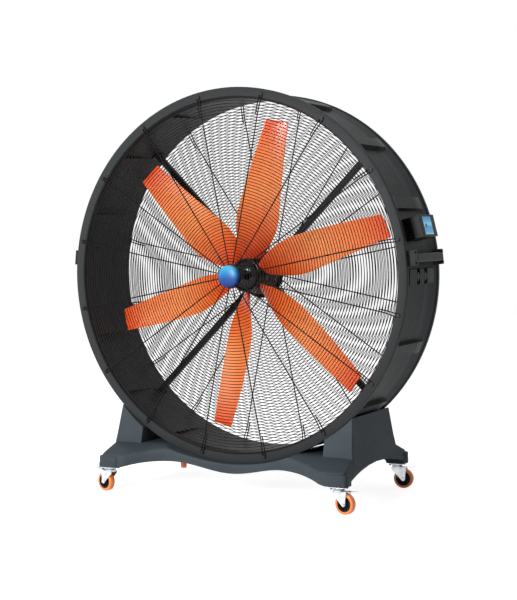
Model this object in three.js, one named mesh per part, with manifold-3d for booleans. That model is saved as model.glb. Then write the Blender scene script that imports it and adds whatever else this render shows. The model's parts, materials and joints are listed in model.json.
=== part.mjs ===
// Castered drum fan: a drum of four moulded quarter shells with wire guards, a six-blade rotor on a
// direct-drive motor, a moulded base, pull handles, a control box and four braked swivel casters.
// Millimetres. +X right, +Y back (the fan blows towards -Y), +Z up. The origin lies on the floor below the
// middle of the parked object.

import * as THREE from 'three';
import * as BufferGeometryUtils from 'three/addons/utils/BufferGeometryUtils.js';
import Module from 'manifold-3d';

const wasm = await Module();
wasm.setup();

// ---------------------------------------------------------------- driving dimensions

const DRUM_LIFT = 174; // drum above the floor
const FOOTPRINT_MIDDLE = 28; // middle of the parked footprint, behind the drum's middle plane
const SEAT_GAP = 0.3; // between pieces that rest against each other

// drum
const DRUM_RADIUS = 950; // front flange, outside
const DRUM_DEPTH = 458;
const FLANGE_FACE_WIDTH = 45; // front ring, seen from the front
const FLANGE_RIM_DEPTH = 29;
const BAND_RECESS = 31; // band below the front flange
const LIP_WIDTH = 12; // bell-mouth chamfer inside the front ring
const REAR_RIM_DROP = 6; // rear rim below the front flange
const REAR_RIM_DEPTH = 24;
const REAR_RING_WIDTH = 29;
const BEVEL_DEPTH = 80; // cone between band and rear rim
const BEVEL_STEP = 3; // step from the cone to the rim
const DRUM_FACETS = 64;
const QUARTERS = 4;
const RIBS_AROUND = 16;
const RIB_WIDTH = 62;
const RIB_HEIGHT = 23;
const RIB_REAR_INSET = 66; // rib end, in front of the rear face
const GROOVE_WIDTH = 44;
const GROOVE_DEPTH = 15;
const GROOVE_END_INSET = 16;
const BOSS_HALF_WIDTH = 36; // bolted end of a quarter, along the rim
const BOSS_HEIGHT = 19;
const BOSS_FRONT_INSET = 70;
const BOSS_REAR_INSET = 66;
const POCKET_WALL = 12;
const POCKET_LENGTH = 40;
const POCKET_FLOOR = 4;
const POCKET_PITCH = 96;

// wire guards
const SPOKES = 16;
const SPOKE_WIDTH = 6;
const GUARD_THICKNESS = 5;
const GUARD_RINGS = 7;
const RING_WIDTH = 4;
const GUARD_CENTRE_RADIUS = 62;
const GUARD_CENTRE_HOLE = 12;
const GUARD_INSET = 6; // outer ring, inside the drum's front opening
const EYE_INSET = 26; // screwed eyes, inside the drum's rim
const EYE_PAD_RADIUS = 8;
const ARC_STEPS = 2; // straight pieces of one ring between two spokes
const BADGE_RADIUS = 57;
const BADGE_RIM = 24;
const BADGE_CROWN = 13;

// rotor
const BLADES = 6;
const BLADE_ANGLE = 19.9; // first blade above the right-hand horizontal
const BLADE_PLANE = -36; // depth of the blade axes
const BLADE_TIP_RADIUS = 805;
const ROOT_CHORD = 80;
const ROOT_SWELL = 0.75; // below 1, the chord grows faster near the hub
const BELLY_CHORD = 218;
const BELLY_RADIUS = 310;
const TIP_CHORD = 122;
const TIP_SWEEP = 27;
const TWIST_LEAD = 205;
const TWIST_OFFSET = 60;
const BLADE_CAMBER = 0.055; // share of the chord
const ROOT_THICKNESS = 26;
const TIP_THICKNESS = 9;
const THINNING_RADIUS = 260;
const BLADE_STATIONS = 9;
const HUB_FLAT = 84; // axis to the flat that carries a blade
const HUB_RADIUS = 90;
const HUB_DEPTH = 74;
const DOME_RADIUS = 86;
const DOME_RIM = 8;
const DOME_CROWN = 30;
const SHAFT_RADIUS = 19;
const SHAFT_NOSE = 12; // shaft end behind the hub's front face
const SHAFT_IN_MOTOR = 60;

// motor and struts
const MOTOR_FRONT = 12;
const MOTOR_LENGTH = 152;
const MOTOR_RADIUS = 72;
const MOTOR_FIN_DEPTH = 7;
const MOTOR_FINS = 18;
const MOTOR_FLANGE_RADIUS = 104;
const MOTOR_FLANGE_DEPTH = 12;
const PLATE_FRONT = 95;
const PLATE_THICKNESS = 10;
const PLATE_RADIUS = 124;
const PLATE_HOLE_CLEARANCE = 2;
const COWL_DEPTH = 22;
const COWL_RADIUS = 73;
const COWL_ROUNDING = 10;
const TERMINAL_WIDTH = 78;
const TERMINAL_HEIGHT = 40;
const TERMINAL_DEPTH = 46;
const TERMINAL_FRONT = 30;
const STRUTS = 4;
const STRUT_ANGLE = 45;
const STRUT_SIZE = 30;
const STRUT_WALL = 3;
const STRUT_INNER_RADIUS = 82;
const STRUT_FOOT_LENGTH = 92;
const STRUT_FOOT_WIDTH = 40;
const STRUT_FOOT_THICKNESS = 6;

// base
const BASE_WALL = 8;
const BASE_HALF_WIDTH = 708;
const APRON_DEPTH = 398; // half, at the feet
const WAIST_DEPTH = 262; // half, below the fan
const WAIST_SPAN = 560;
const WAIST_CURVE = 2.3;
const OUTLINE_STEPS = 9;
const DECK_HEIGHT = 250;
const END_LENGTH = 36; // ends of the deck, where it starts to fall
const END_DROP = 16;
const SKIRT_START = 275; // half depth where the deck starts to slope
const SKIRT_SLOPE = 0.415;
const FOOT_HEIGHT = 131;
const FOOT_LENGTH = 144;
const FOOT_TOP = 190;
const FOOT_FACE = 406;
const FOOT_DEPTH = 44;
const FOOT_CORNER = 16;
const WAVE_LOW = 125; // lower edge of the apron in the middle
const WAVE_HIGH = 171;
const WAVE_CREST = 335;
const WAVE_CURVE = 2.2;
const WAVE_STEPS = 8;
const SIDE_ARCH_HEIGHT = 198;
const SIDE_ARCH_CURVE = 1.9;
const SIDE_ARCH_STEPS = 12;
const TOWER_ANGLE = 56.53; // towers begin here on the drum's rim, below the horizontal
const TOWER_FOOT_OUTER = 682;
const TOWER_TOP_OUTER = 664;
const TOWER_TOP_HEIGHT = 447;
const SADDLE_DEPTH = 220;
const SADDLE_END_INSET = 12;
const CRADLE_GAP = 0.4;

// handles
const HANDLE_ANGLE = 5.5; // above the horizontal
const HANDLE_RISE = 32; // grip, beyond the front flange
const GRIP_THICKNESS = 26;
const GRIP_WIDTH = 42;
const GRIP_CORNER = 7;
const GRIP_FRONT_INSET = 76;
const HANDLE_BLOCK_WIDTH = 76;
const HANDLE_FRONT_LENGTH = 48;
const HANDLE_REAR_LENGTH = 30;
const HANDLE_REAR_INSET = 14;
const HANDLE_REAR_DROP = 9;

// control box
const BOX_ANGLE = 14.1;
const BOX_RISE = 62; // housing, beyond the front flange
const BOX_DEPTH = 172; // front to back
const BOX_WIDTH = 108; // along the rim
const BOX_CENTRE = -32; // in front of the middle of the drum
const HOUSING_THICKNESS = 50;
const BEZEL_THICKNESS = 6;
const SCREEN_DEPTH = 108;
const SCREEN_WIDTH = 88;
const SCREEN_SHIFT = 14; // in front of the housing's middle
const SCREEN_THICKNESS = 3;
const SCREEN_CLEARANCE = 0.5;
const SINK_PLATE = 8;
const SINK_FINS = 9;
const SINK_FIN_THICKNESS = 4;
const SINK_FIN_GAP_TO_BAND = 5;
const SINK_END_INSET = 10;
const SINK_FOOT_WIDTH = 14;
const GLAND_RADIUS = 11;
const GLAND_LENGTH = 24;
const GLAND_BORE = 5;

// casters
const CASTER_END_INSET = 53; // stems, inside the ends of the base
const CASTER_FACE_INSET = 40; // stems, inside the faces of the feet
const CASTER_TRAIL = 35;
const WHEEL_RADIUS = 51;
const WHEEL_WIDTH = 32;
const WHEEL_FACETS = 20;
const TREAD_THICKNESS = 13;
const TREAD_ROUNDING = 4;
const CORE_WEB = 12;
const CORE_HUB_RADIUS = 15;
const CORE_RIM = 6;
const AXLE_RADIUS = 5;
const AXLE_CLEARANCE = 0.5;
const AXLE_HEAD_RADIUS = 8;
const AXLE_HEAD_LENGTH = 5;
const FORK_THICKNESS = 4;
const FORK_SIDE_GAP = 2.5;
const FORK_CROWN_GAP = 2.8;
const FORK_LEG_TOP = 54;
const FORK_LEG_TIP = 11;
const SWIVEL_RADIUS = 28;
const RACE_HEIGHT = 8;
const CASTER_PLATE_X = 78;
const CASTER_PLATE_Y = 66;
const CASTER_PLATE_THICKNESS = 5;
const PEDAL_PIVOT_AHEAD = 9; // pedal pivot beyond the axle
const PEDAL_BARREL = 3.5;
const PEDAL_REACH = 104;
const PEDAL_WIDTH = 30;
const PEDAL_THICKNESS = 4;
const PEDAL_RISE = 7;
const PEDAL_SIDE_GAP = 0.6;
const CASTERS = [
  { name: 'front_right', side: 1, depth: -1, heading: -9 },
  { name: 'rear_right', side: 1, depth: 1, heading: 8 },
  { name: 'front_left', side: -1, depth: -1, heading: 166 },
  { name: 'rear_left', side: -1, depth: 1, heading: 118 },
];

// ---------------------------------------------------------------- derived sizes

const FRONT = -DRUM_DEPTH / 2;
const REAR = DRUM_DEPTH / 2;
const AXIS_HEIGHT = DRUM_RADIUS + DRUM_LIFT;
const BAND_RADIUS = DRUM_RADIUS - BAND_RECESS;
const REAR_RADIUS = DRUM_RADIUS - REAR_RIM_DROP;
const FRONT_OPENING = DRUM_RADIUS - FLANGE_FACE_WIDTH;
const REAR_OPENING = REAR_RADIUS - REAR_RING_WIDTH;
const THROAT_RADIUS = FRONT_OPENING - LIP_WIDTH;
const GUARD_OUTER_RADIUS = FRONT_OPENING - GUARD_INSET;
const EYE_RADIUS = DRUM_RADIUS - EYE_INSET;
const HANDLE_REACH = DRUM_RADIUS + HANDLE_RISE;
const BOX_REACH = DRUM_RADIUS + BOX_RISE;
const FLANGE_BACK = FRONT + FLANGE_RIM_DEPTH;
const RIM_FRONT = REAR - REAR_RIM_DEPTH;
const BAND_BACK = RIM_FRONT - BEVEL_DEPTH;
const DRUM_STEP = (2 * Math.PI) / DRUM_FACETS;
const FACET_DROP = DRUM_RADIUS * (1 - Math.cos(DRUM_STEP / 2));
const GROOVE_FLOOR = THROAT_RADIUS + GROOVE_DEPTH;
const HUB_FRONT = BLADE_PLANE - HUB_DEPTH / 2;
const HUB_BACK = BLADE_PLANE + HUB_DEPTH / 2;
const STRUT_FRONT = PLATE_FRONT + PLATE_THICKNESS + SEAT_GAP;
const FORK_INSIDE = WHEEL_WIDTH / 2 + FORK_SIDE_GAP;
const FORK_OUTSIDE = FORK_INSIDE + FORK_THICKNESS;
const CROWN_BOTTOM = 2 * WHEEL_RADIUS + FORK_CROWN_GAP;
const CROWN_TOP = CROWN_BOTTOM + FORK_THICKNESS;
const END_START = BASE_HALF_WIDTH - END_LENGTH;
const TOWER_INNER = DRUM_RADIUS * Math.cos((TOWER_ANGLE * Math.PI) / 180);
const FOOT_INNER = BASE_HALF_WIDTH - FOOT_LENGTH;
const CASTER_X = BASE_HALF_WIDTH - CASTER_END_INSET;
const CASTER_Y = FOOT_FACE - CASTER_FACE_INSET;
const PLATE_TOP = FOOT_HEIGHT - SEAT_GAP;
const PLATE_BOTTOM = PLATE_TOP - CASTER_PLATE_THICKNESS;
const RACE_BOTTOM = PLATE_BOTTOM - RACE_HEIGHT;
const CORE_RADIUS = WHEEL_RADIUS - TREAD_THICKNESS;
const FAR = 2000; // longer than any piece, for cutting tools

const radians = (degrees) => (degrees * Math.PI) / 180;
const point = (x, y) => new THREE.Vector2(x, y);

// ---------------------------------------------------------------- materials

function finish(color, roughness, metalness) {
  return { color, roughness, metalness };
}

const DRUM_PLASTIC = finish(0x2b2d2d, 0.55, 0);
const BASE_PLASTIC = finish(0x31363a, 0.5, 0);
const BLACK_PLASTIC = finish(0x1b1c1c, 0.5, 0);
const BLACK_WIRE = finish(0x16171a, 0.35, 0.3);
const BLACK_STEEL = finish(0x1a1b1c, 0.4, 0.3);
const MOTOR_PAINT = finish(0x202224, 0.45, 0.3);
const BLADE_ORANGE = finish(0xf2682c, 0.35, 0);
const BADGE_BLUE = finish(0x1f7fc4, 0.25, 0);
const SCREEN_BLUE = finish(0x4aa8e0, 0.15, 0);
const ZINC = finish(0xc4c8cc, 0.3, 0.9);
const TREAD_ORANGE = finish(0xf2812f, 0.4, 0);

// ---------------------------------------------------------------- shape helpers

// Closed solid from a geometry whose faces point outwards.
function solid(geometry) {
  const bare = geometry.clone();
  bare.deleteAttribute('normal');
  bare.deleteAttribute('uv');
  const merged = BufferGeometryUtils.mergeVertices(bare, 1e-4);
  const index = merged.index.array;
  const kept = [];
  for (let i = 0; i < index.length; i += 3) {
    const [a, b, c] = [index[i], index[i + 1], index[i + 2]];
    if (a !== b && b !== c && c !== a) kept.push(a, b, c);
  }
  const mesh = new wasm.Mesh({
    numProp: 3,
    vertProperties: new Float32Array(merged.attributes.position.array),
    triVerts: new Uint32Array(kept),
  });
  return new wasm.Manifold(mesh);
}

function geometryOf(body) {
  const mesh = body.getMesh();
  const geometry = new THREE.BufferGeometry();
  geometry.setAttribute('position', new THREE.BufferAttribute(mesh.vertProperties, 3));
  geometry.setIndex(new THREE.BufferAttribute(mesh.triVerts, 1));
  return geometry;
}

function joined(bodies) {
  return bodies.reduce((sum, body) => sum.add(body));
}

// Block between two corners.
function block(low, high) {
  const size = high.map((value, axis) => value - low[axis]);
  const centre = high.map((value, axis) => (value + low[axis]) / 2);
  return solid(new THREE.BoxGeometry(...size).translate(...centre));
}

// Outline in (x, y), extruded from z = low to z = high.
function prismZ(outline, low, high) {
  const geometry = new THREE.ExtrudeGeometry(new THREE.Shape(outline), {
    depth: high - low,
    bevelEnabled: false,
  });
  return geometry.translate(0, 0, low);
}

// Outline in (x, z), extruded from y = low to y = high.
function prismY(outline, low, high) {
  return prismZ(outline, -high, -low).rotateX(Math.PI / 2);
}

// Outline in (y, z), extruded from x = low to x = high.
function prismX(outline, low, high) {
  return prismZ(outline, low, high).rotateY(Math.PI / 2).rotateX(Math.PI / 2);
}

// Profile of (radius, y) points turned once round the Y axis.
function turned(profile, facets, phase = 0) {
  const points = profile.map(([radius, y]) => point(radius, y));
  const ordered = THREE.ShapeUtils.isClockWise(points) ? points.reverse() : points;
  if (ordered[0].x > 0 || ordered[ordered.length - 1].x > 0) ordered.push(ordered[0].clone());
  return new THREE.LatheGeometry(ordered, facets, phase, 2 * Math.PI);
}

// The same, with the facets' middles on the radius instead of their edges.
function turnedOutside(profile, facets) {
  const grow = 1 / Math.cos(Math.PI / facets);
  return turned(profile.map(([radius, y]) => [radius * grow, y]), facets, Math.PI / facets);
}

function drumTurned(profile) {
  return turned(profile, DRUM_FACETS, DRUM_STEP / 2);
}

function roundedRectangle(left, bottom, right, top, corner, steps = 3) {
  const outline = [];
  const centres = [
    [right - corner, bottom + corner, -90],
    [right - corner, top - corner, 0],
    [left + corner, top - corner, 90],
    [left + corner, bottom + corner, 180],
  ];
  for (const [x, y, start] of centres) {
    for (let step = 0; step <= steps; step += 1) {
      const angle = radians(start + (90 * step) / steps);
      outline.push(point(x + corner * Math.cos(angle), y + corner * Math.sin(angle)));
    }
  }
  return outline;
}

const group = new THREE.Group();
const object = new THREE.Group();
object.position.y = -FOOTPRINT_MIDDLE;
group.add(object);
const fan = new THREE.Group();
fan.position.z = AXIS_HEIGHT;
object.add(fan);

function place(parent, name, geometry, look) {
  const mesh = new THREE.Mesh(geometry, new THREE.MeshStandardMaterial(look));
  mesh.name = name;
  parent.add(mesh);
  return mesh;
}

// ---------------------------------------------------------------- drum

function drumProfile() {
  return [
    [FRONT_OPENING, FRONT],
    [DRUM_RADIUS, FRONT],
    [DRUM_RADIUS, FLANGE_BACK],
    [BAND_RADIUS, FLANGE_BACK],
    [BAND_RADIUS, BAND_BACK],
    [REAR_RADIUS - BEVEL_STEP, RIM_FRONT],
    [REAR_RADIUS, RIM_FRONT],
    [REAR_RADIUS, REAR],
    [REAR_OPENING, REAR],
    [THROAT_RADIUS, FLANGE_BACK],
  ];
}

// Everything that lies within the drum's outside, grown by a clearance.
function drumEnvelope(clearance) {
  return solid(drumTurned([
    [0, FRONT - clearance],
    [DRUM_RADIUS + clearance, FRONT - clearance],
    [DRUM_RADIUS + clearance, FLANGE_BACK + clearance],
    [BAND_RADIUS + clearance, FLANGE_BACK + clearance],
    [BAND_RADIUS + clearance, BAND_BACK],
    [REAR_RADIUS - BEVEL_STEP + clearance, RIM_FRONT - clearance],
    [REAR_RADIUS + clearance, RIM_FRONT - clearance],
    [REAR_RADIUS + clearance, REAR + clearance],
    [0, REAR + clearance],
  ]));
}

// Block at an angle round the fan axis: radial, depth and rim ranges.
function rimBlock(angle, radial, depth, rim) {
  const geometry = new THREE.BoxGeometry(
    radial[1] - radial[0],
    depth[1] - depth[0],
    rim[1] - rim[0],
  );
  geometry.translate(
    (radial[0] + radial[1]) / 2,
    (depth[0] + depth[1]) / 2,
    (rim[0] + rim[1]) / 2,
  );
  return solid(geometry.rotateY(-angle));
}

function rib(angle) {
  const half = RIB_WIDTH / 2;
  return rimBlock(
    angle,
    [BAND_RADIUS - RIB_HEIGHT / 2, BAND_RADIUS + RIB_HEIGHT],
    [FLANGE_BACK - 1, REAR - RIB_REAR_INSET],
    [-half, half],
  );
}

function groove(angle) {
  const half = GROOVE_WIDTH / 2;
  return rimBlock(
    angle,
    [THROAT_RADIUS / 2, GROOVE_FLOOR],
    [FRONT + GROOVE_END_INSET, REAR - GROOVE_END_INSET],
    [-half, half],
  );
}

function jointBoss(angle) {
  return rimBlock(
    angle,
    [BAND_RADIUS - BOSS_HEIGHT / 2, BAND_RADIUS + BOSS_HEIGHT],
    [FRONT + BOSS_FRONT_INSET, REAR - BOSS_REAR_INSET],
    [-BOSS_HALF_WIDTH, BOSS_HALF_WIDTH],
  );
}

// Recesses for the bolt heads and nuts on both sides of a joint.
function boltPockets(angle) {
  const middle = (FRONT + BOSS_FRONT_INSET + REAR - BOSS_REAR_INSET) / 2;
  const pockets = [];
  for (const bolt of [-1, 1]) {
    const y = middle + (bolt * POCKET_PITCH) / 2;
    for (const side of [-1, 1]) {
      const rim = [side * POCKET_WALL, side * (BOSS_HALF_WIDTH + POCKET_WALL)].sort((a, b) => a - b);
      const radial = [BAND_RADIUS + POCKET_FLOOR, DRUM_RADIUS];
      pockets.push(rimBlock(angle, radial, [y - POCKET_LENGTH / 2, y + POCKET_LENGTH / 2], rim));
    }
  }
  return joined(pockets);
}

function buildDrum() {
  let ring = solid(drumTurned(drumProfile()));
  for (let index = 0; index < RIBS_AROUND; index += 1) {
    const angle = (index * 2 * Math.PI) / RIBS_AROUND;
    const atJoint = index % (RIBS_AROUND / QUARTERS) === 0;
    ring = ring.add(atJoint ? jointBoss(angle) : rib(angle));
    ring = atJoint ? ring.subtract(boltPockets(angle)) : ring.subtract(groove(angle));
  }
  const half = SEAT_GAP / 2;
  const names = ['upper_right', 'upper_left', 'lower_left', 'lower_right'];
  names.forEach((name, index) => {
    const wedge = block([half, -DRUM_DEPTH, half], [FAR, DRUM_DEPTH, FAR]);
    const quarter = ring.intersect(wedge.rotate([0, -90 * index, 0]));
    place(fan, `drum_quarter_${name}`, geometryOf(quarter), DRUM_PLASTIC);
  });
}

// ---------------------------------------------------------------- wire guards

const polar = (radius, angle) => point(radius * Math.cos(angle), radius * Math.sin(angle));

// One gap of the guard, between two rings and two neighbouring wires.
function guardGap(inner, outer, start) {
  const sector = (2 * Math.PI) / SPOKES;
  const outline = [];
  for (const [radius, forward] of [[inner, true], [outer, false]]) {
    const trim = Math.asin(SPOKE_WIDTH / 2 / radius);
    for (let step = 0; step <= ARC_STEPS; step += 1) {
      const share = forward ? step / ARC_STEPS : 1 - step / ARC_STEPS;
      outline.push(polar(radius, start + trim + (sector - 2 * trim) * share));
    }
  }
  return solid(prismY(outline, -1, GUARD_THICKNESS + 1));
}

// Rings on radial wires, each wire ending in a round eye on the drum's face.
function guardGeometry() {
  const rim = GUARD_OUTER_RADIUS + RING_WIDTH / 2;
  const disc = solid(turned([
    [GUARD_CENTRE_HOLE, 0],
    [rim, 0],
    [rim, GUARD_THICKNESS],
    [GUARD_CENTRE_HOLE, GUARD_THICKNESS],
  ], SPOKES * ARC_STEPS));
  const eye = solid(turned([
    [0, 0],
    [EYE_PAD_RADIUS, 0],
    [EYE_PAD_RADIUS, GUARD_THICKNESS],
    [0, GUARD_THICKNESS],
  ], 8).translate(EYE_RADIUS, 0, 0));
  const eyes = [];
  const gaps = [];
  const pitch = (GUARD_OUTER_RADIUS - GUARD_CENTRE_RADIUS) / GUARD_RINGS;
  for (let index = 0; index < SPOKES; index += 1) {
    const angle = ((index + 0.5) * 2 * Math.PI) / SPOKES;
    const reach = [GUARD_OUTER_RADIUS, EYE_RADIUS];
    eyes.push(rimBlock(angle, reach, [0, GUARD_THICKNESS], [-SPOKE_WIDTH / 2, SPOKE_WIDTH / 2]));
    eyes.push(eye.rotate([0, -THREE.MathUtils.radToDeg(angle), 0]));
    for (let ring = 0; ring < GUARD_RINGS; ring += 1) {
      const inner = GUARD_CENTRE_RADIUS + ring * pitch + (ring > 0 ? RING_WIDTH / 2 : 0);
      const outer = GUARD_CENTRE_RADIUS + (ring + 1) * pitch - RING_WIDTH / 2;
      gaps.push(guardGap(inner, outer, angle));
    }
  }
  return geometryOf(disc.subtract(joined(gaps)).add(joined(eyes)));
}

function buildGuards() {
  const front = place(fan, 'front_guard', guardGeometry(), BLACK_WIRE);
  front.position.y = FRONT - SEAT_GAP - GUARD_THICKNESS;
  const rear = place(fan, 'rear_guard', guardGeometry(), BLACK_WIRE);
  rear.position.y = REAR + SEAT_GAP;
  const back = FRONT - 2 * SEAT_GAP - GUARD_THICKNESS;
  const badge = turned([
    [0, back],
    [BADGE_RADIUS, back],
    [BADGE_RADIUS, back - BADGE_RIM],
    [BADGE_RADIUS * 0.8, back - BADGE_RIM - BADGE_CROWN * 0.5],
    [BADGE_RADIUS * 0.45, back - BADGE_RIM - BADGE_CROWN * 0.88],
    [0, back - BADGE_RIM - BADGE_CROWN],
  ], 24);
  place(fan, 'badge_disc', geometryOf(solid(badge)), BADGE_BLUE);
}

// ---------------------------------------------------------------- rotor

function bladeChord(radius) {
  if (radius < BELLY_RADIUS) {
    const share = (radius - HUB_FLAT) / (BELLY_RADIUS - HUB_FLAT);
    return ROOT_CHORD + (BELLY_CHORD - ROOT_CHORD) * Math.sin((share ** ROOT_SWELL * Math.PI) / 2);
  }
  const share = (radius - BELLY_RADIUS) / (BLADE_TIP_RADIUS - BELLY_RADIUS);
  return BELLY_CHORD + (TIP_CHORD - BELLY_CHORD) * share;
}

function bladeThickness(radius) {
  const share = Math.exp(-(radius - HUB_FLAT) / THINNING_RADIUS);
  return TIP_THICKNESS + (ROOT_THICKNESS - TIP_THICKNESS) * share;
}

// Section of a blade: points on its rear face, then back along its front face.
function bladeSection(radius) {
  const chord = bladeChord(radius);
  const twist = Math.atan(TWIST_LEAD / (radius + TWIST_OFFSET));
  const beyondBelly = Math.max(0, (radius - BELLY_RADIUS) / (BLADE_TIP_RADIUS - BELLY_RADIUS));
  const middle = -TIP_SWEEP * beyondBelly ** 1.5;
  const thickness = bladeThickness(radius);
  const shares = [-0.5, -0.4, -0.15, 0.15, 0.4, 0.5];
  const at = (share, side) => {
    const edge = 1 - (2 * share) ** 2;
    const offset = BLADE_CAMBER * chord * edge + (side * thickness * (0.3 + 0.7 * edge)) / 2;
    const along = share * chord;
    return new THREE.Vector3(
      radius,
      BLADE_PLANE - along * Math.sin(twist) + offset * Math.cos(twist),
      middle + along * Math.cos(twist) + offset * Math.sin(twist),
    );
  };
  const rearFace = shares.map((share) => at(share, 1));
  const frontFace = shares.map((share) => at(share, -1)).reverse();
  return [...rearFace, ...frontFace];
}

// Skin over sections of equal point counts, closed at both ends.
function loft(sections) {
  const count = sections[0].length;
  const positions = sections.flat().flatMap((p) => [p.x, p.y, p.z]);
  const index = [];
  const quad = (a, b, c, d) => index.push(a, c, b, a, d, c);
  for (let row = 0; row < sections.length - 1; row += 1) {
    for (let column = 0; column < count; column += 1) {
      const next = (column + 1) % count;
      const here = row * count;
      quad(here + column, here + count + column, here + count + next, here + next);
    }
  }
  const last = (sections.length - 1) * count;
  for (let column = 0; column < count / 2 - 1; column += 1) {
    const facing = count - 1 - column;
    quad(column, column + 1, facing - 1, facing);
    quad(last + facing, last + facing - 1, last + column + 1, last + column);
  }
  const geometry = new THREE.BufferGeometry();
  geometry.setAttribute('position', new THREE.BufferAttribute(new Float32Array(positions), 3));
  geometry.setIndex(index);
  return geometry;
}

function bladeGeometry() {
  const root = HUB_FLAT + SEAT_GAP;
  const sections = [];
  for (let station = 0; station < BLADE_STATIONS; station += 1) {
    const share = (station / (BLADE_STATIONS - 1)) ** 1.5;
    sections.push(bladeSection(root + (BLADE_TIP_RADIUS - root) * share));
  }
  return loft(sections);
}

function buildHub() {
  const corner = HUB_FLAT / Math.cos(Math.PI / BLADES);
  const flats = [];
  for (let index = 0; index < BLADES; index += 1) {
    flats.push(polar(corner, radians(BLADE_ANGLE) + ((index + 0.5) * 2 * Math.PI) / BLADES));
  }
  const bore = SHAFT_RADIUS + SEAT_GAP;
  const prism = solid(prismY(flats, HUB_FRONT, HUB_BACK));
  const round = solid(turned([
    [bore, HUB_FRONT - 1],
    [HUB_RADIUS, HUB_FRONT - 1],
    [HUB_RADIUS, HUB_BACK + 1],
    [bore, HUB_BACK + 1],
  ], 48));
  place(fan, 'hub_body', geometryOf(prism.intersect(round)), BLACK_STEEL);

  const back = HUB_FRONT - SEAT_GAP;
  const dome = [[0, back], [DOME_RADIUS, back], [DOME_RADIUS, back - DOME_RIM]];
  for (const turn of [25, 45, 65]) {
    const angle = radians(turn);
    const y = back - DOME_RIM - DOME_CROWN * Math.sin(angle);
    dome.push([DOME_RADIUS * Math.cos(angle), y]);
  }
  dome.push([0, back - DOME_RIM - DOME_CROWN]);
  place(fan, 'hub_dome', geometryOf(solid(turned(dome, 24))), BLACK_PLASTIC);

  const shaft = turned([
    [0, HUB_FRONT + SHAFT_NOSE],
    [SHAFT_RADIUS, HUB_FRONT + SHAFT_NOSE],
    [SHAFT_RADIUS, MOTOR_FRONT + SHAFT_IN_MOTOR],
    [0, MOTOR_FRONT + SHAFT_IN_MOTOR],
  ], 24);
  place(fan, 'rotor_shaft', geometryOf(solid(shaft)), ZINC);
}

function buildRotor() {
  buildHub();
  for (let index = 0; index < BLADES; index += 1) {
    const blade = place(fan, `blade_${index + 1}`, bladeGeometry(), BLADE_ORANGE);
    blade.rotation.y = -radians(BLADE_ANGLE + (index * 360) / BLADES);
  }
}

// ---------------------------------------------------------------- motor and struts

function motorHousing() {
  const fins = [];
  for (let index = 0; index < MOTOR_FINS; index += 1) {
    const sector = (2 * Math.PI) / MOTOR_FINS;
    const start = index * sector;
    fins.push(polar(MOTOR_RADIUS, start));
    fins.push(polar(MOTOR_RADIUS, start + sector * 0.4));
    fins.push(polar(MOTOR_RADIUS - MOTOR_FIN_DEPTH, start + sector * 0.5));
    fins.push(polar(MOTOR_RADIUS - MOTOR_FIN_DEPTH, start + sector * 0.9));
  }
  const body = solid(prismY(fins, MOTOR_FRONT, MOTOR_FRONT + MOTOR_LENGTH));
  const back = PLATE_FRONT - SEAT_GAP;
  const flange = solid(turned([
    [0, back - MOTOR_FLANGE_DEPTH],
    [MOTOR_FLANGE_RADIUS, back - MOTOR_FLANGE_DEPTH],
    [MOTOR_FLANGE_RADIUS, back],
    [0, back],
  ], 48));
  const bore = solid(turned([
    [0, MOTOR_FRONT - 1],
    [SHAFT_RADIUS + SEAT_GAP, MOTOR_FRONT - 1],
    [SHAFT_RADIUS + SEAT_GAP, MOTOR_FRONT + SHAFT_IN_MOTOR + SEAT_GAP],
    [0, MOTOR_FRONT + SHAFT_IN_MOTOR + SEAT_GAP],
  ], 24));
  return geometryOf(body.add(flange).subtract(bore));
}

function buildMotor() {
  place(fan, 'motor_housing', motorHousing(), MOTOR_PAINT);

  const front = MOTOR_FRONT + MOTOR_LENGTH + SEAT_GAP;
  const cowl = turned([
    [0, front],
    [COWL_RADIUS, front],
    [COWL_RADIUS, front + COWL_DEPTH - COWL_ROUNDING],
    [COWL_RADIUS - COWL_ROUNDING, front + COWL_DEPTH],
    [0, front + COWL_DEPTH],
  ], 32);
  place(fan, 'motor_rear_cowl', geometryOf(solid(cowl)), BLACK_PLASTIC);

  const hole = MOTOR_RADIUS + PLATE_HOLE_CLEARANCE;
  const plate = turned([
    [hole, PLATE_FRONT],
    [PLATE_RADIUS, PLATE_FRONT],
    [PLATE_RADIUS, PLATE_FRONT + PLATE_THICKNESS],
    [hole, PLATE_FRONT + PLATE_THICKNESS],
  ], 48);
  place(fan, 'motor_mount_plate', geometryOf(solid(plate)), BLACK_STEEL);

  const half = TERMINAL_WIDTH / 2;
  const low = MOTOR_RADIUS - MOTOR_FIN_DEPTH;
  const outline = roundedRectangle(-half, low, half, MOTOR_RADIUS + TERMINAL_HEIGHT, 6, 2);
  const box = solid(prismY(outline, TERMINAL_FRONT, TERMINAL_FRONT + TERMINAL_DEPTH));
  const seat = solid(turnedOutside([
    [0, TERMINAL_FRONT - 1],
    [MOTOR_RADIUS + SEAT_GAP, TERMINAL_FRONT - 1],
    [MOTOR_RADIUS + SEAT_GAP, TERMINAL_FRONT + TERMINAL_DEPTH + 1],
    [0, TERMINAL_FRONT + TERMINAL_DEPTH + 1],
  ], 48));
  place(fan, 'motor_terminal_box', geometryOf(box.subtract(seat)), BLACK_PLASTIC);
}

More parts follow.
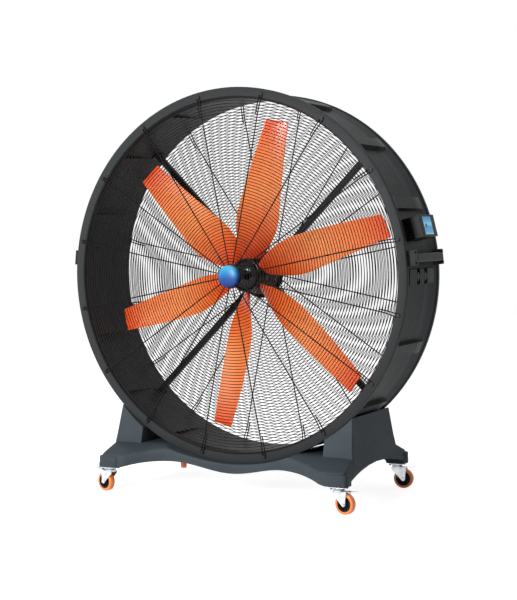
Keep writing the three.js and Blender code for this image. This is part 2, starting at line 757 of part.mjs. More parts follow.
// Square tube from the mount plate to the drum, with a foot plate in the drum's groove.
function strutGeometry() {
  const outer = GROOVE_FLOOR - SEAT_GAP;
  const footFront = outer - STRUT_FOOT_THICKNESS;
  const half = STRUT_SIZE / 2;
  const inside = half - STRUT_WALL;
  const middle = STRUT_FRONT + half;
  const tube = block(
    [STRUT_INNER_RADIUS, middle - half, -half],
    [footFront + 1, middle + half, half],
  );
  const hollow = block(
    [STRUT_INNER_RADIUS - 1, middle - inside, -inside],
    [footFront, middle + inside, inside],
  );
  const foot = block(
    [footFront, middle - STRUT_FOOT_LENGTH / 2, -STRUT_FOOT_WIDTH / 2],
    [outer, middle + STRUT_FOOT_LENGTH / 2, STRUT_FOOT_WIDTH / 2],
  );
  return geometryOf(tube.add(foot).subtract(hollow));
}

function buildStruts() {
  for (let index = 0; index < STRUTS; index += 1) {
    const strut = place(fan, `strut_${index + 1}`, strutGeometry(), BLACK_STEEL);
    strut.rotation.y = -radians(STRUT_ANGLE + (index * 360) / STRUTS);
  }
}

// ---------------------------------------------------------------- base

// Half depth of the base at a distance from the middle.
function apronDepth(x) {
  const share = Math.min(1, Math.abs(x) / WAIST_SPAN);
  return WAIST_DEPTH + (APRON_DEPTH - WAIST_DEPTH) * share ** WAIST_CURVE;
}

// Plan of the base, drawn in by a wall.
function basePlan(wall) {
  const edge = [];
  const end = BASE_HALF_WIDTH - wall;
  for (let step = 0; step <= OUTLINE_STEPS; step += 1) edge.push((WAIST_SPAN * step) / OUTLINE_STEPS);
  edge.push(end);
  const quarter = edge.map((x) => point(x, apronDepth(x) - wall));
  const mirrored = (sx, sy) => quarter.map((p) => point(sx * p.x, sy * p.y));
  return [
    ...mirrored(1, -1).slice(1),
    ...mirrored(1, 1).slice(1).reverse(),
    ...mirrored(-1, 1),
    ...mirrored(-1, -1).reverse(),
  ];
}

// Deck with its sloping front and rear skirts; a wall makes the cavity below it.
function deck(wall) {
  const top = DECK_HEIGHT - wall;
  const bottom = FOOT_HEIGHT / 2 - wall;
  const body = solid(prismZ(basePlan(wall), bottom, top));
  const reach = FOOT_FACE;
  const fall = (reach - SKIRT_START) * SKIRT_SLOPE;
  const wedges = [-1, 1].map((side) => solid(prismX([
    point(side * SKIRT_START, top),
    point(side * reach, top - fall),
    point(side * reach, top + 1),
    point(side * SKIRT_START, top + 1),
  ], -FAR, FAR)));
  const ends = [-1, 1].map((side) => solid(prismY([
    point(side * END_START, top),
    point(side * BASE_HALF_WIDTH, top - END_DROP),
    point(side * BASE_HALF_WIDTH, top + 1),
    point(side * END_START, top + 1),
  ], -FAR, FAR)));
  return body.subtract(joined([...wedges, ...ends]));
}

// Tower beside the fan, leaning inwards to its top; side is +1 on the right.
function tower(side, wall) {
  const low = DECK_HEIGHT - BASE_WALL * 2 - wall;
  const rise = TOWER_TOP_HEIGHT - DECK_HEIGHT;
  const share = (low - DECK_HEIGHT) / rise;
  const level = (height, outer, depth) => [
    [TOWER_INNER + wall, -depth + wall, height],
    [outer - wall, -depth + wall, height],
    [outer - wall, depth - wall, height],
    [TOWER_INNER + wall, depth - wall, height],
  ].map(([x, y, z]) => new THREE.Vector3(x, y, z));
  const lean = TOWER_FOOT_OUTER - TOWER_TOP_OUTER;
  const taper = SKIRT_START - DRUM_DEPTH / 2;
  const base = level(low, TOWER_FOOT_OUTER - lean * share, SKIRT_START - taper * share);
  const top = level(TOWER_TOP_HEIGHT + BASE_WALL, TOWER_TOP_OUTER, DRUM_DEPTH / 2);
  const body = solid(loft([base, top]));
  return side > 0 ? body : body.mirror([1, 0, 0]);
}

// Space taken by the drum, for the cradle.
function cradle(clearance) {
  const radius = DRUM_RADIUS + clearance;
  const cylinder = solid(drumTurned([[0, -FAR], [radius, -FAR], [radius, FAR], [0, FAR]]));
  return cylinder.translate([0, 0, AXIS_HEIGHT]);
}

function foot(side, depth) {
  const outline = roundedRectangle(
    FOOT_INNER,
    -FOOT_FACE,
    BASE_HALF_WIDTH,
    -FOOT_FACE + FOOT_DEPTH + FOOT_CORNER,
    FOOT_CORNER,
  );
  const body = solid(prismZ(outline, FOOT_HEIGHT, FOOT_TOP));
  const flipped = side > 0 ? body : body.mirror([1, 0, 0]);
  return depth < 0 ? flipped : flipped.mirror([0, 1, 0]);
}

// Solid pad under the shell that a caster plate is bolted to.
function casterPad(side, depth) {
  const x = side * CASTER_X;
  const y = depth * CASTER_Y;
  return block(
    [x - CASTER_PLATE_X / 2, y - CASTER_PLATE_Y / 2, FOOT_HEIGHT],
    [x + CASTER_PLATE_X / 2, y + CASTER_PLATE_Y / 2, FOOT_TOP],
  );
}

// Height of the apron's lower edge.
function waveHeight(x) {
  if (x < WAVE_CREST) {
    return WAVE_LOW + ((WAVE_HIGH - WAVE_LOW) * (1 - Math.cos((Math.PI * x) / WAVE_CREST))) / 2;
  }
  const share = Math.min(1, (x - WAVE_CREST) / (FOOT_INNER - WAVE_CREST));
  return WAVE_HIGH - (WAVE_HIGH - FOOT_HEIGHT) * share ** WAVE_CURVE;
}

function waveCut() {
  const heights = [];
  for (let step = 0; step <= WAVE_STEPS; step += 1) heights.push((WAVE_CREST * step) / WAVE_STEPS);
  for (let step = 1; step <= WAVE_STEPS; step += 1) {
    heights.push(WAVE_CREST + ((FOOT_INNER - WAVE_CREST) * step) / WAVE_STEPS);
  }
  const right = heights.map((x) => point(x, waveHeight(x)));
  right.push(point(FAR, FOOT_HEIGHT));
  const left = right.slice(1).map((p) => point(-p.x, p.y)).reverse();
  return solid(prismY([point(-FAR, -FAR), point(FAR, -FAR), ...right.reverse(), ...left.reverse()], -FAR, FAR));
}

function sideArchCut(side) {
  const outline = [point(-FOOT_FACE, -FAR)];
  for (let step = -SIDE_ARCH_STEPS / 2; step <= SIDE_ARCH_STEPS / 2; step += 1) {
    const share = (2 * step) / SIDE_ARCH_STEPS;
    const drop = (SIDE_ARCH_HEIGHT - FOOT_HEIGHT) * Math.abs(share) ** SIDE_ARCH_CURVE;
    outline.push(point(share * FOOT_FACE, SIDE_ARCH_HEIGHT - drop));
  }
  outline.push(point(FOOT_FACE, -FAR));
  const inner = BASE_HALF_WIDTH - 2 * BASE_WALL;
  const body = solid(prismX(outline, inner, FAR));
  return side > 0 ? body : body.mirror([1, 0, 0]);
}

function buildBase() {
  const corners = [[1, -1], [1, 1], [-1, -1], [-1, 1]];
  const shell = (wall) => joined([deck(wall), tower(1, wall), tower(-1, wall)]);
  const feet = joined(corners.map(([side, depth]) => foot(side, depth)));
  const pads = joined(corners.map(([side, depth]) => casterPad(side, depth)));
  const outside = shell(0).add(feet).subtract(cradle(CRADLE_GAP));
  const cavity = shell(BASE_WALL).subtract(cradle(CRADLE_GAP + BASE_WALL));
  const body = outside
    .subtract(cavity)
    .add(pads.intersect(outside))
    .subtract(waveCut())
    .subtract(sideArchCut(1))
    .subtract(sideArchCut(-1));
  place(object, 'base_shell', geometryOf(body), BASE_PLASTIC);
}

// Packing between a tower and the drum's band.
function buildSaddles() {
  const low = BAND_RADIUS + SEAT_GAP;
  const high = DRUM_RADIUS + CRADLE_GAP - SEAT_GAP;
  const ring = solid(drumTurned([
    [low, -SADDLE_DEPTH / 2],
    [high, -SADDLE_DEPTH / 2],
    [high, SADDLE_DEPTH / 2],
    [low, SADDLE_DEPTH / 2],
  ]));
  const ribAngle = -STRUT_ANGLE;
  const start = ribAngle - (RIB_WIDTH / 2 + SADDLE_END_INSET) / BAND_RADIUS * (180 / Math.PI);
  const end = -(180 / Math.PI) * Math.acos((TOWER_INNER + SADDLE_END_INSET) / high);
  const wedge = prismY([
    point(0, 0),
    polar(FAR, radians(end)),
    polar(FAR, radians(start)),
  ], -SADDLE_DEPTH, SADDLE_DEPTH);
  const right = ring.intersect(solid(wedge));
  place(fan, 'saddle_right', geometryOf(right), BLACK_STEEL);
  place(fan, 'saddle_left', geometryOf(right.mirror([1, 0, 0])), BLACK_STEEL);
}

// ---------------------------------------------------------------- handles

// Grip bar and its two end blocks, along the rim's depth, cut to the drum.
function handleBody() {
  const angle = radians(HANDLE_ANGLE);
  const front = FLANGE_BACK + SEAT_GAP;
  const rear = REAR - HANDLE_REAR_INSET;
  const half = HANDLE_BLOCK_WIDTH / 2;
  const grip = prismY(
    roundedRectangle(
      HANDLE_REACH - GRIP_THICKNESS,
      -GRIP_WIDTH / 2,
      HANDLE_REACH,
      GRIP_WIDTH / 2,
      GRIP_CORNER,
    ),
    FRONT + GRIP_FRONT_INSET,
    rear - HANDLE_REAR_LENGTH + 1,
  );
  const blockHeight = HANDLE_REACH - BAND_RADIUS;
  const frontBlock = prismZ([
    point(BAND_RADIUS, front),
    point(HANDLE_REACH, front),
    point(HANDLE_REACH, front + HANDLE_FRONT_LENGTH - GRIP_CORNER),
    point(HANDLE_REACH - GRIP_CORNER, front + HANDLE_FRONT_LENGTH),
    point(BAND_RADIUS, front + HANDLE_FRONT_LENGTH + blockHeight / 3),
  ], -half, half);
  const rearTop = HANDLE_REACH - HANDLE_REAR_DROP;
  const rearBlock = prismZ([
    point(BAND_RADIUS, rear - HANDLE_REAR_LENGTH - blockHeight / 3),
    point(HANDLE_REACH - GRIP_THICKNESS, rear - HANDLE_REAR_LENGTH),
    point(rearTop, rear - HANDLE_REAR_LENGTH),
    point(rearTop, rear),
    point(BAND_RADIUS, rear),
  ], -half, half);
  const body = joined([grip, frontBlock, rearBlock].map((part) => solid(part.rotateY(-angle))));
  return body.subtract(drumEnvelope(SEAT_GAP));
}

function buildHandles() {
  const right = handleBody();
  place(fan, 'handle_right', geometryOf(right), BLACK_PLASTIC);
  place(fan, 'handle_left', geometryOf(right.mirror([1, 0, 0])), BLACK_PLASTIC);
}

// ---------------------------------------------------------------- control box

function buildControlBox() {
  const holder = new THREE.Group();
  holder.rotation.y = -radians(BOX_ANGLE);
  fan.add(holder);
  const half = BOX_WIDTH / 2;
  const front = BOX_CENTRE - BOX_DEPTH / 2;
  const rear = BOX_CENTRE + BOX_DEPTH / 2;
  const housingBack = BOX_REACH - HOUSING_THICKNESS;
  const sinkTop = housingBack - SEAT_GAP;
  const sinkBottom = sinkTop - SINK_PLATE;

  const sinkFront = front + SINK_END_INSET;
  const sinkRear = rear - SINK_END_INSET;
  const finTip = BAND_RADIUS + SINK_FIN_GAP_TO_BAND;
  const fins = [block([sinkBottom, sinkFront, -half], [sinkTop, sinkRear, half])];
  const pitch = (BOX_WIDTH - SINK_FIN_THICKNESS) / (SINK_FINS - 1);
  for (let index = 0; index < SINK_FINS; index += 1) {
    const z = -half + index * pitch;
    const low = [finTip, sinkFront, z];
    fins.push(block(low, [sinkBottom + 1, sinkRear, z + SINK_FIN_THICKNESS]));
  }
  for (const side of [-1, 1]) {
    const edges = [side * half, side * (half - SINK_FOOT_WIDTH)].sort((a, b) => a - b);
    const low = [BAND_RADIUS - RIB_HEIGHT, sinkFront, edges[0]];
    fins.push(block(low, [sinkBottom + 1, sinkRear, edges[1]]));
  }
  const clearOfDrum = drumEnvelope(SEAT_GAP).rotate([0, BOX_ANGLE, 0]);
  const sink = joined(fins).subtract(clearOfDrum);
  place(holder, 'control_heat_sink', geometryOf(sink), BLACK_STEEL);

  const housing = prismY(
    roundedRectangle(housingBack, -half, BOX_REACH, half, 5, 2),
    front,
    rear,
  );
  place(holder, 'control_housing', geometryOf(solid(housing)), BLACK_PLASTIC);

  const bezelLow = BOX_REACH + SEAT_GAP;
  const bezelHigh = bezelLow + BEZEL_THICKNESS;
  const halfDepth = SCREEN_DEPTH / 2;
  const halfWidth = SCREEN_WIDTH / 2;
  const grow = SCREEN_CLEARANCE;
  const middle = BOX_CENTRE - SCREEN_SHIFT;
  const bezel = block([bezelLow, front, -half], [bezelHigh, rear, half]);
  const recess = block(
    [bezelHigh - SCREEN_THICKNESS - grow, middle - halfDepth - grow, -halfWidth - grow],
    [bezelHigh + 1, middle + halfDepth + grow, halfWidth + grow],
  );
  place(holder, 'control_bezel', geometryOf(bezel.subtract(recess)), BLACK_PLASTIC);
  const screen = block(
    [bezelHigh - SCREEN_THICKNESS - grow + SEAT_GAP, middle - halfDepth, -halfWidth],
    [bezelHigh - grow, middle + halfDepth, halfWidth],
  );
  place(holder, 'control_screen', geometryOf(screen), SCREEN_BLUE);

  const gland = turned([
    [GLAND_BORE, rear + SEAT_GAP],
    [GLAND_RADIUS, rear + SEAT_GAP],
    [GLAND_RADIUS, rear + GLAND_LENGTH * 0.6],
    [GLAND_RADIUS * 0.75, rear + GLAND_LENGTH],
    [GLAND_BORE, rear + GLAND_LENGTH],
  ], 16);
  const fitted = geometryOf(solid(gland.translate((housingBack + BOX_REACH) / 2, 0, 0)));
  place(holder, 'control_cable_gland', fitted, BLACK_PLASTIC);
}

// ---------------------------------------------------------------- casters

function upright(profile, facets) {
  return turned(profile, facets).rotateX(Math.PI / 2);
}

function casterPlate() {
  const plate = block(
    [-CASTER_PLATE_X / 2, -CASTER_PLATE_Y / 2, PLATE_BOTTOM],
    [CASTER_PLATE_X / 2, CASTER_PLATE_Y / 2, PLATE_TOP],
  );
  const race = solid(upright([
    [0, RACE_BOTTOM],
    [SWIVEL_RADIUS, RACE_BOTTOM],
    [SWIVEL_RADIUS, PLATE_BOTTOM + 1],
    [0, PLATE_BOTTOM + 1],
  ], 24));
  return geometryOf(plate.add(race));
}

// Fork leg in side view: from the swivel crown down to the axle, with an ear for the pedal.
function forkLegOutline() {
  const pivot = CASTER_TRAIL + PEDAL_PIVOT_AHEAD;
  const outline = [
    point(-FORK_LEG_TOP / 2, CROWN_TOP),
    point(-FORK_LEG_TOP / 2, CROWN_BOTTOM - 6),
  ];
  for (let turn = 210; turn <= 360; turn += 30) {
    const angle = radians(turn);
    outline.push(point(
      CASTER_TRAIL + FORK_LEG_TIP * Math.cos(angle),
      WHEEL_RADIUS + FORK_LEG_TIP * Math.sin(angle),
    ));
  }
  outline.push(point(pivot + 2 * PEDAL_BARREL, CROWN_BOTTOM - 4));
  outline.push(point(pivot + 2 * PEDAL_BARREL, CROWN_TOP + PEDAL_BARREL));
  return outline;
}

function forkGeometry() {
  const outline = forkLegOutline();
  const legs = [-1, 1].map((side) => {
    const faces = [side * FORK_INSIDE, side * FORK_OUTSIDE].sort((a, b) => a - b);
    return solid(prismY(outline, ...faces));
  });
  const crownEnd = CASTER_TRAIL + PEDAL_PIVOT_AHEAD - 2 * PEDAL_BARREL;
  const crown = block(
    [-FORK_LEG_TOP / 2, -FORK_OUTSIDE, CROWN_BOTTOM],
    [crownEnd, FORK_OUTSIDE, CROWN_TOP],
  );
  const head = solid(upright([
    [0, CROWN_TOP - 1],
    [SWIVEL_RADIUS, CROWN_TOP - 1],
    [SWIVEL_RADIUS, RACE_BOTTOM - SEAT_GAP],
    [0, RACE_BOTTOM - SEAT_GAP],
  ], 24));
  const hole = solid(turned([
    [0, -FORK_OUTSIDE - 1],
    [AXLE_RADIUS + SEAT_GAP, -FORK_OUTSIDE - 1],
    [AXLE_RADIUS + SEAT_GAP, FORK_OUTSIDE + 1],
    [0, FORK_OUTSIDE + 1],
  ], 16)).translate([CASTER_TRAIL, 0, WHEEL_RADIUS]);
  return geometryOf(joined([...legs, crown, head]).subtract(hole));
}

function axleGeometry() {
  const inside = FORK_OUTSIDE + SEAT_GAP;
  const outside = inside + AXLE_HEAD_LENGTH;
  return geometryOf(solid(turned([
    [0, -outside],
    [AXLE_HEAD_RADIUS, -outside],
    [AXLE_HEAD_RADIUS, -inside],
    [AXLE_RADIUS, -inside],
    [AXLE_RADIUS, inside],
    [AXLE_HEAD_RADIUS, inside],
    [AXLE_HEAD_RADIUS, outside],
    [0, outside],
  ], 12)));
}

function wheelCoreGeometry() {
  const bore = AXLE_RADIUS + AXLE_CLEARANCE;
  const half = WHEEL_WIDTH / 2;
  const web = CORE_WEB / 2;
  const rim = CORE_RADIUS - CORE_RIM;
  return geometryOf(solid(turned([
    [bore, -half],
    [CORE_HUB_RADIUS, -half],
    [CORE_HUB_RADIUS, -web],
    [rim, -web],
    [rim, -half + 1],
    [CORE_RADIUS, -half + 1],
    [CORE_RADIUS, half - 1],
    [rim, half - 1],
    [rim, web],
    [CORE_HUB_RADIUS, web],
    [CORE_HUB_RADIUS, half],
    [bore, half],
  ], WHEEL_FACETS)));
}

function treadGeometry() {
  const half = WHEEL_WIDTH / 2;
  const inner = CORE_RADIUS + SEAT_GAP;
  return geometryOf(solid(turnedOutside([
    [inner, -half],
    [WHEEL_RADIUS - TREAD_ROUNDING, -half],
    [WHEEL_RADIUS, -half + TREAD_ROUNDING],
    [WHEEL_RADIUS, half - TREAD_ROUNDING],
    [WHEEL_RADIUS - TREAD_ROUNDING, half],
    [inner, half],
  ], WHEEL_FACETS)));
}

function pedalGeometry() {
  const pivot = CASTER_TRAIL + PEDAL_PIVOT_AHEAD;
  const inside = FORK_INSIDE - PEDAL_SIDE_GAP;
  const height = CROWN_TOP + SEAT_GAP;
  const barrel = solid(turned([
    [0, -inside],
    [PEDAL_BARREL, -inside],
    [PEDAL_BARREL, inside],
    [0, inside],
  ], 12)).translate([pivot, 0, height]);
  const half = PEDAL_THICKNESS / 2;
  const bend = (pivot + PEDAL_REACH) / 2;
  const plate = solid(prismY([
    point(pivot, height - half),
    point(bend, height - half),
    point(PEDAL_REACH, height + PEDAL_RISE - half),
    point(PEDAL_REACH, height + PEDAL_RISE + half),
    point(bend, height + half),
    point(pivot, height + half),
  ], -PEDAL_WIDTH / 2, PEDAL_WIDTH / 2));
  return geometryOf(barrel.add(plate));
}

function buildCasters() {
  for (const caster of CASTERS) {
    const place3 = [caster.side * CASTER_X, caster.depth * CASTER_Y, 0];
    const fixed = new THREE.Group();
    fixed.position.set(...place3);
    object.add(fixed);
    place(fixed, `caster_plate_${caster.name}`, casterPlate(), ZINC);
    const swivel = new THREE.Group();
    swivel.position.set(...place3);
    swivel.rotation.z = radians(caster.heading);
    object.add(swivel);
    place(swivel, `caster_fork_${caster.name}`, forkGeometry(), ZINC);
    place(swivel, `brake_pedal_${caster.name}`, pedalGeometry(), ZINC);
    const wheel = new THREE.Group();
    wheel.position.set(CASTER_TRAIL, 0, WHEEL_RADIUS);
    swivel.add(wheel);
    place(wheel, `axle_bolt_${caster.name}`, axleGeometry(), ZINC);
    place(wheel, `wheel_core_${caster.name}`, wheelCoreGeometry(), BLACK_PLASTIC);
    place(wheel, `wheel_tread_${caster.name}`, treadGeometry(), TREAD_ORANGE);
  }
}

buildDrum();
buildGuards();
buildRotor();
buildMotor();
buildStruts();
buildBase();
buildSaddles();
buildHandles();
buildControlBox();
buildCasters();

export default group;
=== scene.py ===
"""Castered drum fan: looks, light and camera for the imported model. Metres, +X right, +Y back, +Z up."""

import json
from math import atan, copysign, cos, exp, pi, radians, sin, sqrt

import bmesh
import bpy
from mathutils import Matrix, Vector


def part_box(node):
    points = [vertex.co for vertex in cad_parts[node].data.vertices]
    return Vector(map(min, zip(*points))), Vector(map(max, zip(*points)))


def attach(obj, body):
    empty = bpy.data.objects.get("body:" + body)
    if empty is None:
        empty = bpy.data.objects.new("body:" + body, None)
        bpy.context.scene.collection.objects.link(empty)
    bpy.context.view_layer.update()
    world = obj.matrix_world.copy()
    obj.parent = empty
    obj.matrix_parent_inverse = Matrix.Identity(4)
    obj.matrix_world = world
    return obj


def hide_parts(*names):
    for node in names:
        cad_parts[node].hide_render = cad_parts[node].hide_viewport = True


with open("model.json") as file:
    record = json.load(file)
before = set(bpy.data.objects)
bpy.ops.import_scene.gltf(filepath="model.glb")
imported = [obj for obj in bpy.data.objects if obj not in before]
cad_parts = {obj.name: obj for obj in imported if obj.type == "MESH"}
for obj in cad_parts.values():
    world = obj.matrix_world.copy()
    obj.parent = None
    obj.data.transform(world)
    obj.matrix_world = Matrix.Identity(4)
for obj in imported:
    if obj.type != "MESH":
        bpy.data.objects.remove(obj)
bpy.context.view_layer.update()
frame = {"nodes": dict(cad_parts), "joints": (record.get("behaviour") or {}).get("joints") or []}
scene = bpy.context.scene

# ------------ sizes read from the frame

drum_low, drum_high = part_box("drum_quarter_upper_right")
guard_low, guard_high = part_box("front_guard")
MIDDLE = (drum_low.y + drum_high.y) / 2  # the drum's middle plane
AXIS = Vector(((guard_low.x + guard_high.x) / 2, MIDDLE, (guard_low.z + guard_high.z) / 2))
HALF_DEPTH = (drum_high.y - drum_low.y) / 2
FRONT = -HALF_DEPTH
REAR = HALF_DEPTH

# ------------ driving sizes, metres

GAP = 0.0003

# drum
DRUM_RADIUS = 0.950
FRONT_OPENING = DRUM_RADIUS - 0.045
THROAT = FRONT_OPENING - 0.012
BAND_RADIUS = DRUM_RADIUS - 0.031
REAR_RADIUS = DRUM_RADIUS - 0.006
REAR_OPENING = REAR_RADIUS - 0.029
CONE_TOP = REAR_RADIUS - 0.003
FLANGE_BACK = FRONT + 0.029
RIM_FRONT = REAR - 0.024
BAND_BACK = RIM_FRONT - 0.080
CLOSEST_STATIONS = 0.0004  # radians
PAINTED_LIGHT_MASK = (FRONT_OPENING, FRONT_OPENING + 0.010)  # from bore to outside, where the drum's painted shade and painted highlight begin
RIBS = 16
RIB_TOP = BAND_RADIUS + 0.023
RIB_END = REAR - 0.066
RIB_FOOT = 0.0345  # half widths along the rim
RIB_CREST = 0.0305
GROOVE_MOUTH = 0.0225
GROOVE_BED = 0.0215
GROOVE_FLOOR = THROAT + 0.015
BOSS_TOP = BAND_RADIUS + 0.019
BOSS_FRONT = FRONT + 0.070
BOSS_REAR = REAR - 0.066
BOSS_FOOT = 0.0385
BOSS_CREST = 0.0360
BOLT_DEPTHS = [(BOSS_FRONT + BOSS_REAR) / 2 + side * 0.048 for side in (-1, 1)]
POCKET_HALF_LENGTH = 0.020
POCKET_WALL = 0.012
POCKET_SLOPE = 0.0006
POCKET_FLOOR = BAND_RADIUS + 0.004

# guards
RING_PITCH = 0.01525
RING_WIRE = 0.0020
SPOKE_WIRE = 0.0031
OUTER_RING = 0.899
INNER_RING = 0.062
SPOKES = 16
EYE_CIRCLE = 0.924
EYE_RADIUS = 0.0065
HAIRPIN_LENGTH = 0.100
BADGE_RADIUS = 0.057
BADGE_RIM = 0.024
BADGE_CROWN = 0.013

# rotor
BLADES = 6
BLADE_ANGLE = radians(19.9)
BLADE_PLANE = -0.036
TIP_RADIUS = 0.805
ROOT_RADIUS = 0.0845
ROOT_CHORD = 0.080
ROOT_SWELL = 0.75  # how fast the chord grows from the root
BELLY_CHORD = 0.218
BELLY_RADIUS = 0.310
TIP_CHORD = 0.122
TIP_SWEEP = 0.027
TWIST_LEAD = 0.205
TWIST_OFFSET = 0.060
CAMBER = 0.055
ROOT_THICKNESS = 0.026
TIP_THICKNESS = 0.009
THINNING = 0.260

# motor and struts
MOTOR_BOLT_CIRCLE = 0.094
COWL_GROOVES = (0.0515, 0.0375, 0.0235)  # radii
GROOVE_PROFILE = ((0.0025, 0), (0.0010, 0.002), (-0.0010, 0.002), (-0.0025, 0))  # offset, depth
STRUT_FOOT_DEPTH = 0.1203
STRUT_HEAD_RADIUS = 0.104
STRUT_HEAD_DEPTH = 0.1353

# handles
HANDLE_ANGLE = radians(5.5)
HANDLE_SEATS = ((-0.178, 0.982), (0.198, 0.973))  # depth and radius of its bolts

# base
WALL = 0.008
HALF_WIDTH = 0.708
APRON_DEPTH = 0.398
WAIST_DEPTH = 0.262
WAIST_SPAN = 0.560
WAIST_CURVE = 2.3
DECK = 0.250
END_START = 0.672
END_DROP = 0.004
SKIRT_START = 0.275
SKIRT_SLOPE = 0.415
FOOT_BOTTOM = 0.131
FOOT_INNER = 0.588
FOOT_TOP = 0.190
FOOT_FACE = 0.406
FOOT_DEPTH = 0.060
CORNER = 0.024
FILLET = 0.007
WAVE_LOW = 0.125
WAVE_HIGH = 0.171
WAVE_CREST = 0.335
WAVE_CURVE = 2.2
SIDE_ARCH = 0.198
SIDE_ARCH_CURVE = 1.9
TOWER_INNER = 0.52393
TOWER_FOOT = 0.682
TOWER_TOP = 0.664
TOWER_HEIGHT = 0.447
CRADLE_RADIUS = DRUM_RADIUS + 0.0006

# casters
WHEEL_RADIUS = 0.051
CORE_RADIUS = 0.038
TREAD_CORNER = 0.006
TREAD_FLAT = 0.010  # half width of the tread's running face
FORK_INNER = 0.0185
FORK_OUTER = 0.0225
PEDAL_HEIGHT = 0.1091
PEDAL_PIVOT = 0.044
PEDAL_TIP = 0.1035
PEDAL_THICKNESS = 0.0032

# stage: name, position, size and power of each light
FLOOR_REACH = 14.0
LIGHTS = (
    ("key", (-0.9, -6.4, 2.3), (1.8, 1.8), 430),
    ("left", (-5.0, -3.2, 1.8), (1.6, 3.2), 80),
    ("top", (0.8, -1.0, 6.0), (4.0, 2.0), 60),
)

# camera, solved from the drum's rims in the photograph
PHOTO_HEIGHT = 600
FOCAL_PIXELS = 1357.4
SENSOR = 36.0
CAMERA_FROM_AXIS = Vector((3.3363, -6.2154, 0.2310))
CAMERA_YAW = radians(27.985)
CAMERA_PITCH = radians(-2.939)
CAMERA_ROLL = radians(-0.519)

# directions
RIGHT = Vector((1, 0, 0))
BACKWARD = Vector((0, 1, 0))
UP = Vector((0, 0, 1))

RECORD_JOINTS = {joint["name"]: joint for joint in frame["joints"]}


def ramp(value, zero, one):
    """0 at zero, 1 at one, straight between."""
    return min(1.0, max(0.0, (value - zero) / (one - zero)))


def mix(low, high, share):
    return low + (high - low) * share


def place(radius, angle, depth):
    """Point at a radius and an angle round the fan's axis, at a depth from the drum's middle."""
    return AXIS + Vector((radius * cos(angle), depth, radius * sin(angle)))


def angles(count, first=0.0):
    """Even angles round a full turn."""
    return [first + 2 * pi * index / count for index in range(count)]


def arc(centre, radius, first, last, steps):
    """Points of a circle's arc, both ends included; its angles are in degrees."""
    turns = [radians(first + (last - first) * step / steps) for step in range(steps + 1)]
    return [(centre[0] + radius * cos(turn), centre[1] + radius * sin(turn)) for turn in turns]


def radial_at(angle):
    return Vector((cos(angle), 0, sin(angle)))


def tangent_at(angle):
    return Vector((-sin(angle), 0, cos(angle)))


# ------------ materials


def hex_colour(text):
    channels = [int(text[i : i + 2], 16) / 255 for i in (0, 2, 4)]
    return [c / 12.92 if c <= 0.04045 else ((c + 0.055) / 1.055) ** 2.4 for c in channels] + [1.0]


class Graph:
    """The nodes of a material or a world, with small helpers."""

    def __init__(self, owner, shader):
        owner.use_nodes = True
        self.nodes, self.links = owner.node_tree.nodes, owner.node_tree.links
        self.shader = self.nodes[shader]

    def set(self, **values):
        for key, value in values.items():
            self.shader.inputs[key.replace("_", " ")].default_value = value
        return self

    def node(self, kind, **settings):
        made = self.nodes.new(kind)
        for key, value in settings.items():
            if key in made.inputs.keys():
                made.inputs[key].default_value = value
            else:
                setattr(made, key, value)
        return made

    def link(self, source, target):
        self.links.new(source, target)

    def feed(self, source, name):
        """Links a socket to an input of the shader."""
        self.link(source, self.shader.inputs[name])
        return self

    def coordinates(self):
        return self.node("ShaderNodeTexCoord").outputs["Object"]

    def vector_math(self, operation, source, value=None):
        made = self.node("ShaderNodeVectorMath", operation=operation)
        self.link(source, made.inputs[0])
        if value is not None:
            made.inputs[1].default_value = value
        return made.outputs["Value" if operation in ("LENGTH", "DISTANCE") else "Vector"]

    def spread(self, source, low, high, start=0.0, end=1.0):
        """Maps start to end onto low to high."""
        made = self.node("ShaderNodeMapRange")
        limits = {"From Min": start, "From Max": end, "To Min": low, "To Max": high}
        for name, value in limits.items():
            made.inputs[name].default_value = value
        self.link(source, made.inputs["Value"])
        return made.outputs["Result"]

    def share(self, source, start, end):
        return self.spread(source, 0.0, 1.0, start, end)

    def along(self, axis, start, end):
        """0 at one coordinate, 1 at another."""
        split = self.node("ShaderNodeSeparateXYZ")
        self.link(self.coordinates(), split.inputs["Vector"])
        return self.share(split.outputs[axis], start, end)

    def from_axis(self, start, end):
        """0 at one distance from the fan's axis, 1 at another."""
        offset = self.vector_math("SUBTRACT", self.coordinates(), AXIS)
        flat = self.vector_math("MULTIPLY", offset, (1, 0, 1))
        return self.share(self.vector_math("LENGTH", flat), start, end)

    def blend(self, factor, first, second):
        """Mix of two colours, each a hexadecimal text or a socket."""
        made = self.node("ShaderNodeMix", data_type="RGBA")
        self.link(factor, made.inputs["Factor"])
        for index, colour in ((6, first), (7, second)):
            if isinstance(colour, str):
                made.inputs[index].default_value = hex_colour(colour)
            else:
                self.link(colour, made.inputs[index])
        return made.outputs[2]

    def noise(self, scale, detail=3.0, stretch=None):
        made = self.node("ShaderNodeTexNoise", Scale=scale, Detail=detail)
        source = self.coordinates()
        if stretch:
            mapping = self.node("ShaderNodeMapping")
            mapping.inputs["Scale"].default_value = stretch
            self.link(source, mapping.inputs["Vector"])
            source = mapping.outputs["Vector"]
        self.link(source, made.inputs["Vector"])
        return made.outputs["Fac"]

    def ramp(self, source, stops):
        made = self.node("ShaderNodeValToRGB")
        elements = made.color_ramp.elements
        while len(elements) < len(stops):
            elements.new(0.5)
        for element, (position, colour) in zip(elements, stops):
            element.position = position
            element.color = hex_colour(colour) if isinstance(colour, str) else colour
        self.link(source, made.inputs["Fac"])
        return made.outputs["Color"]


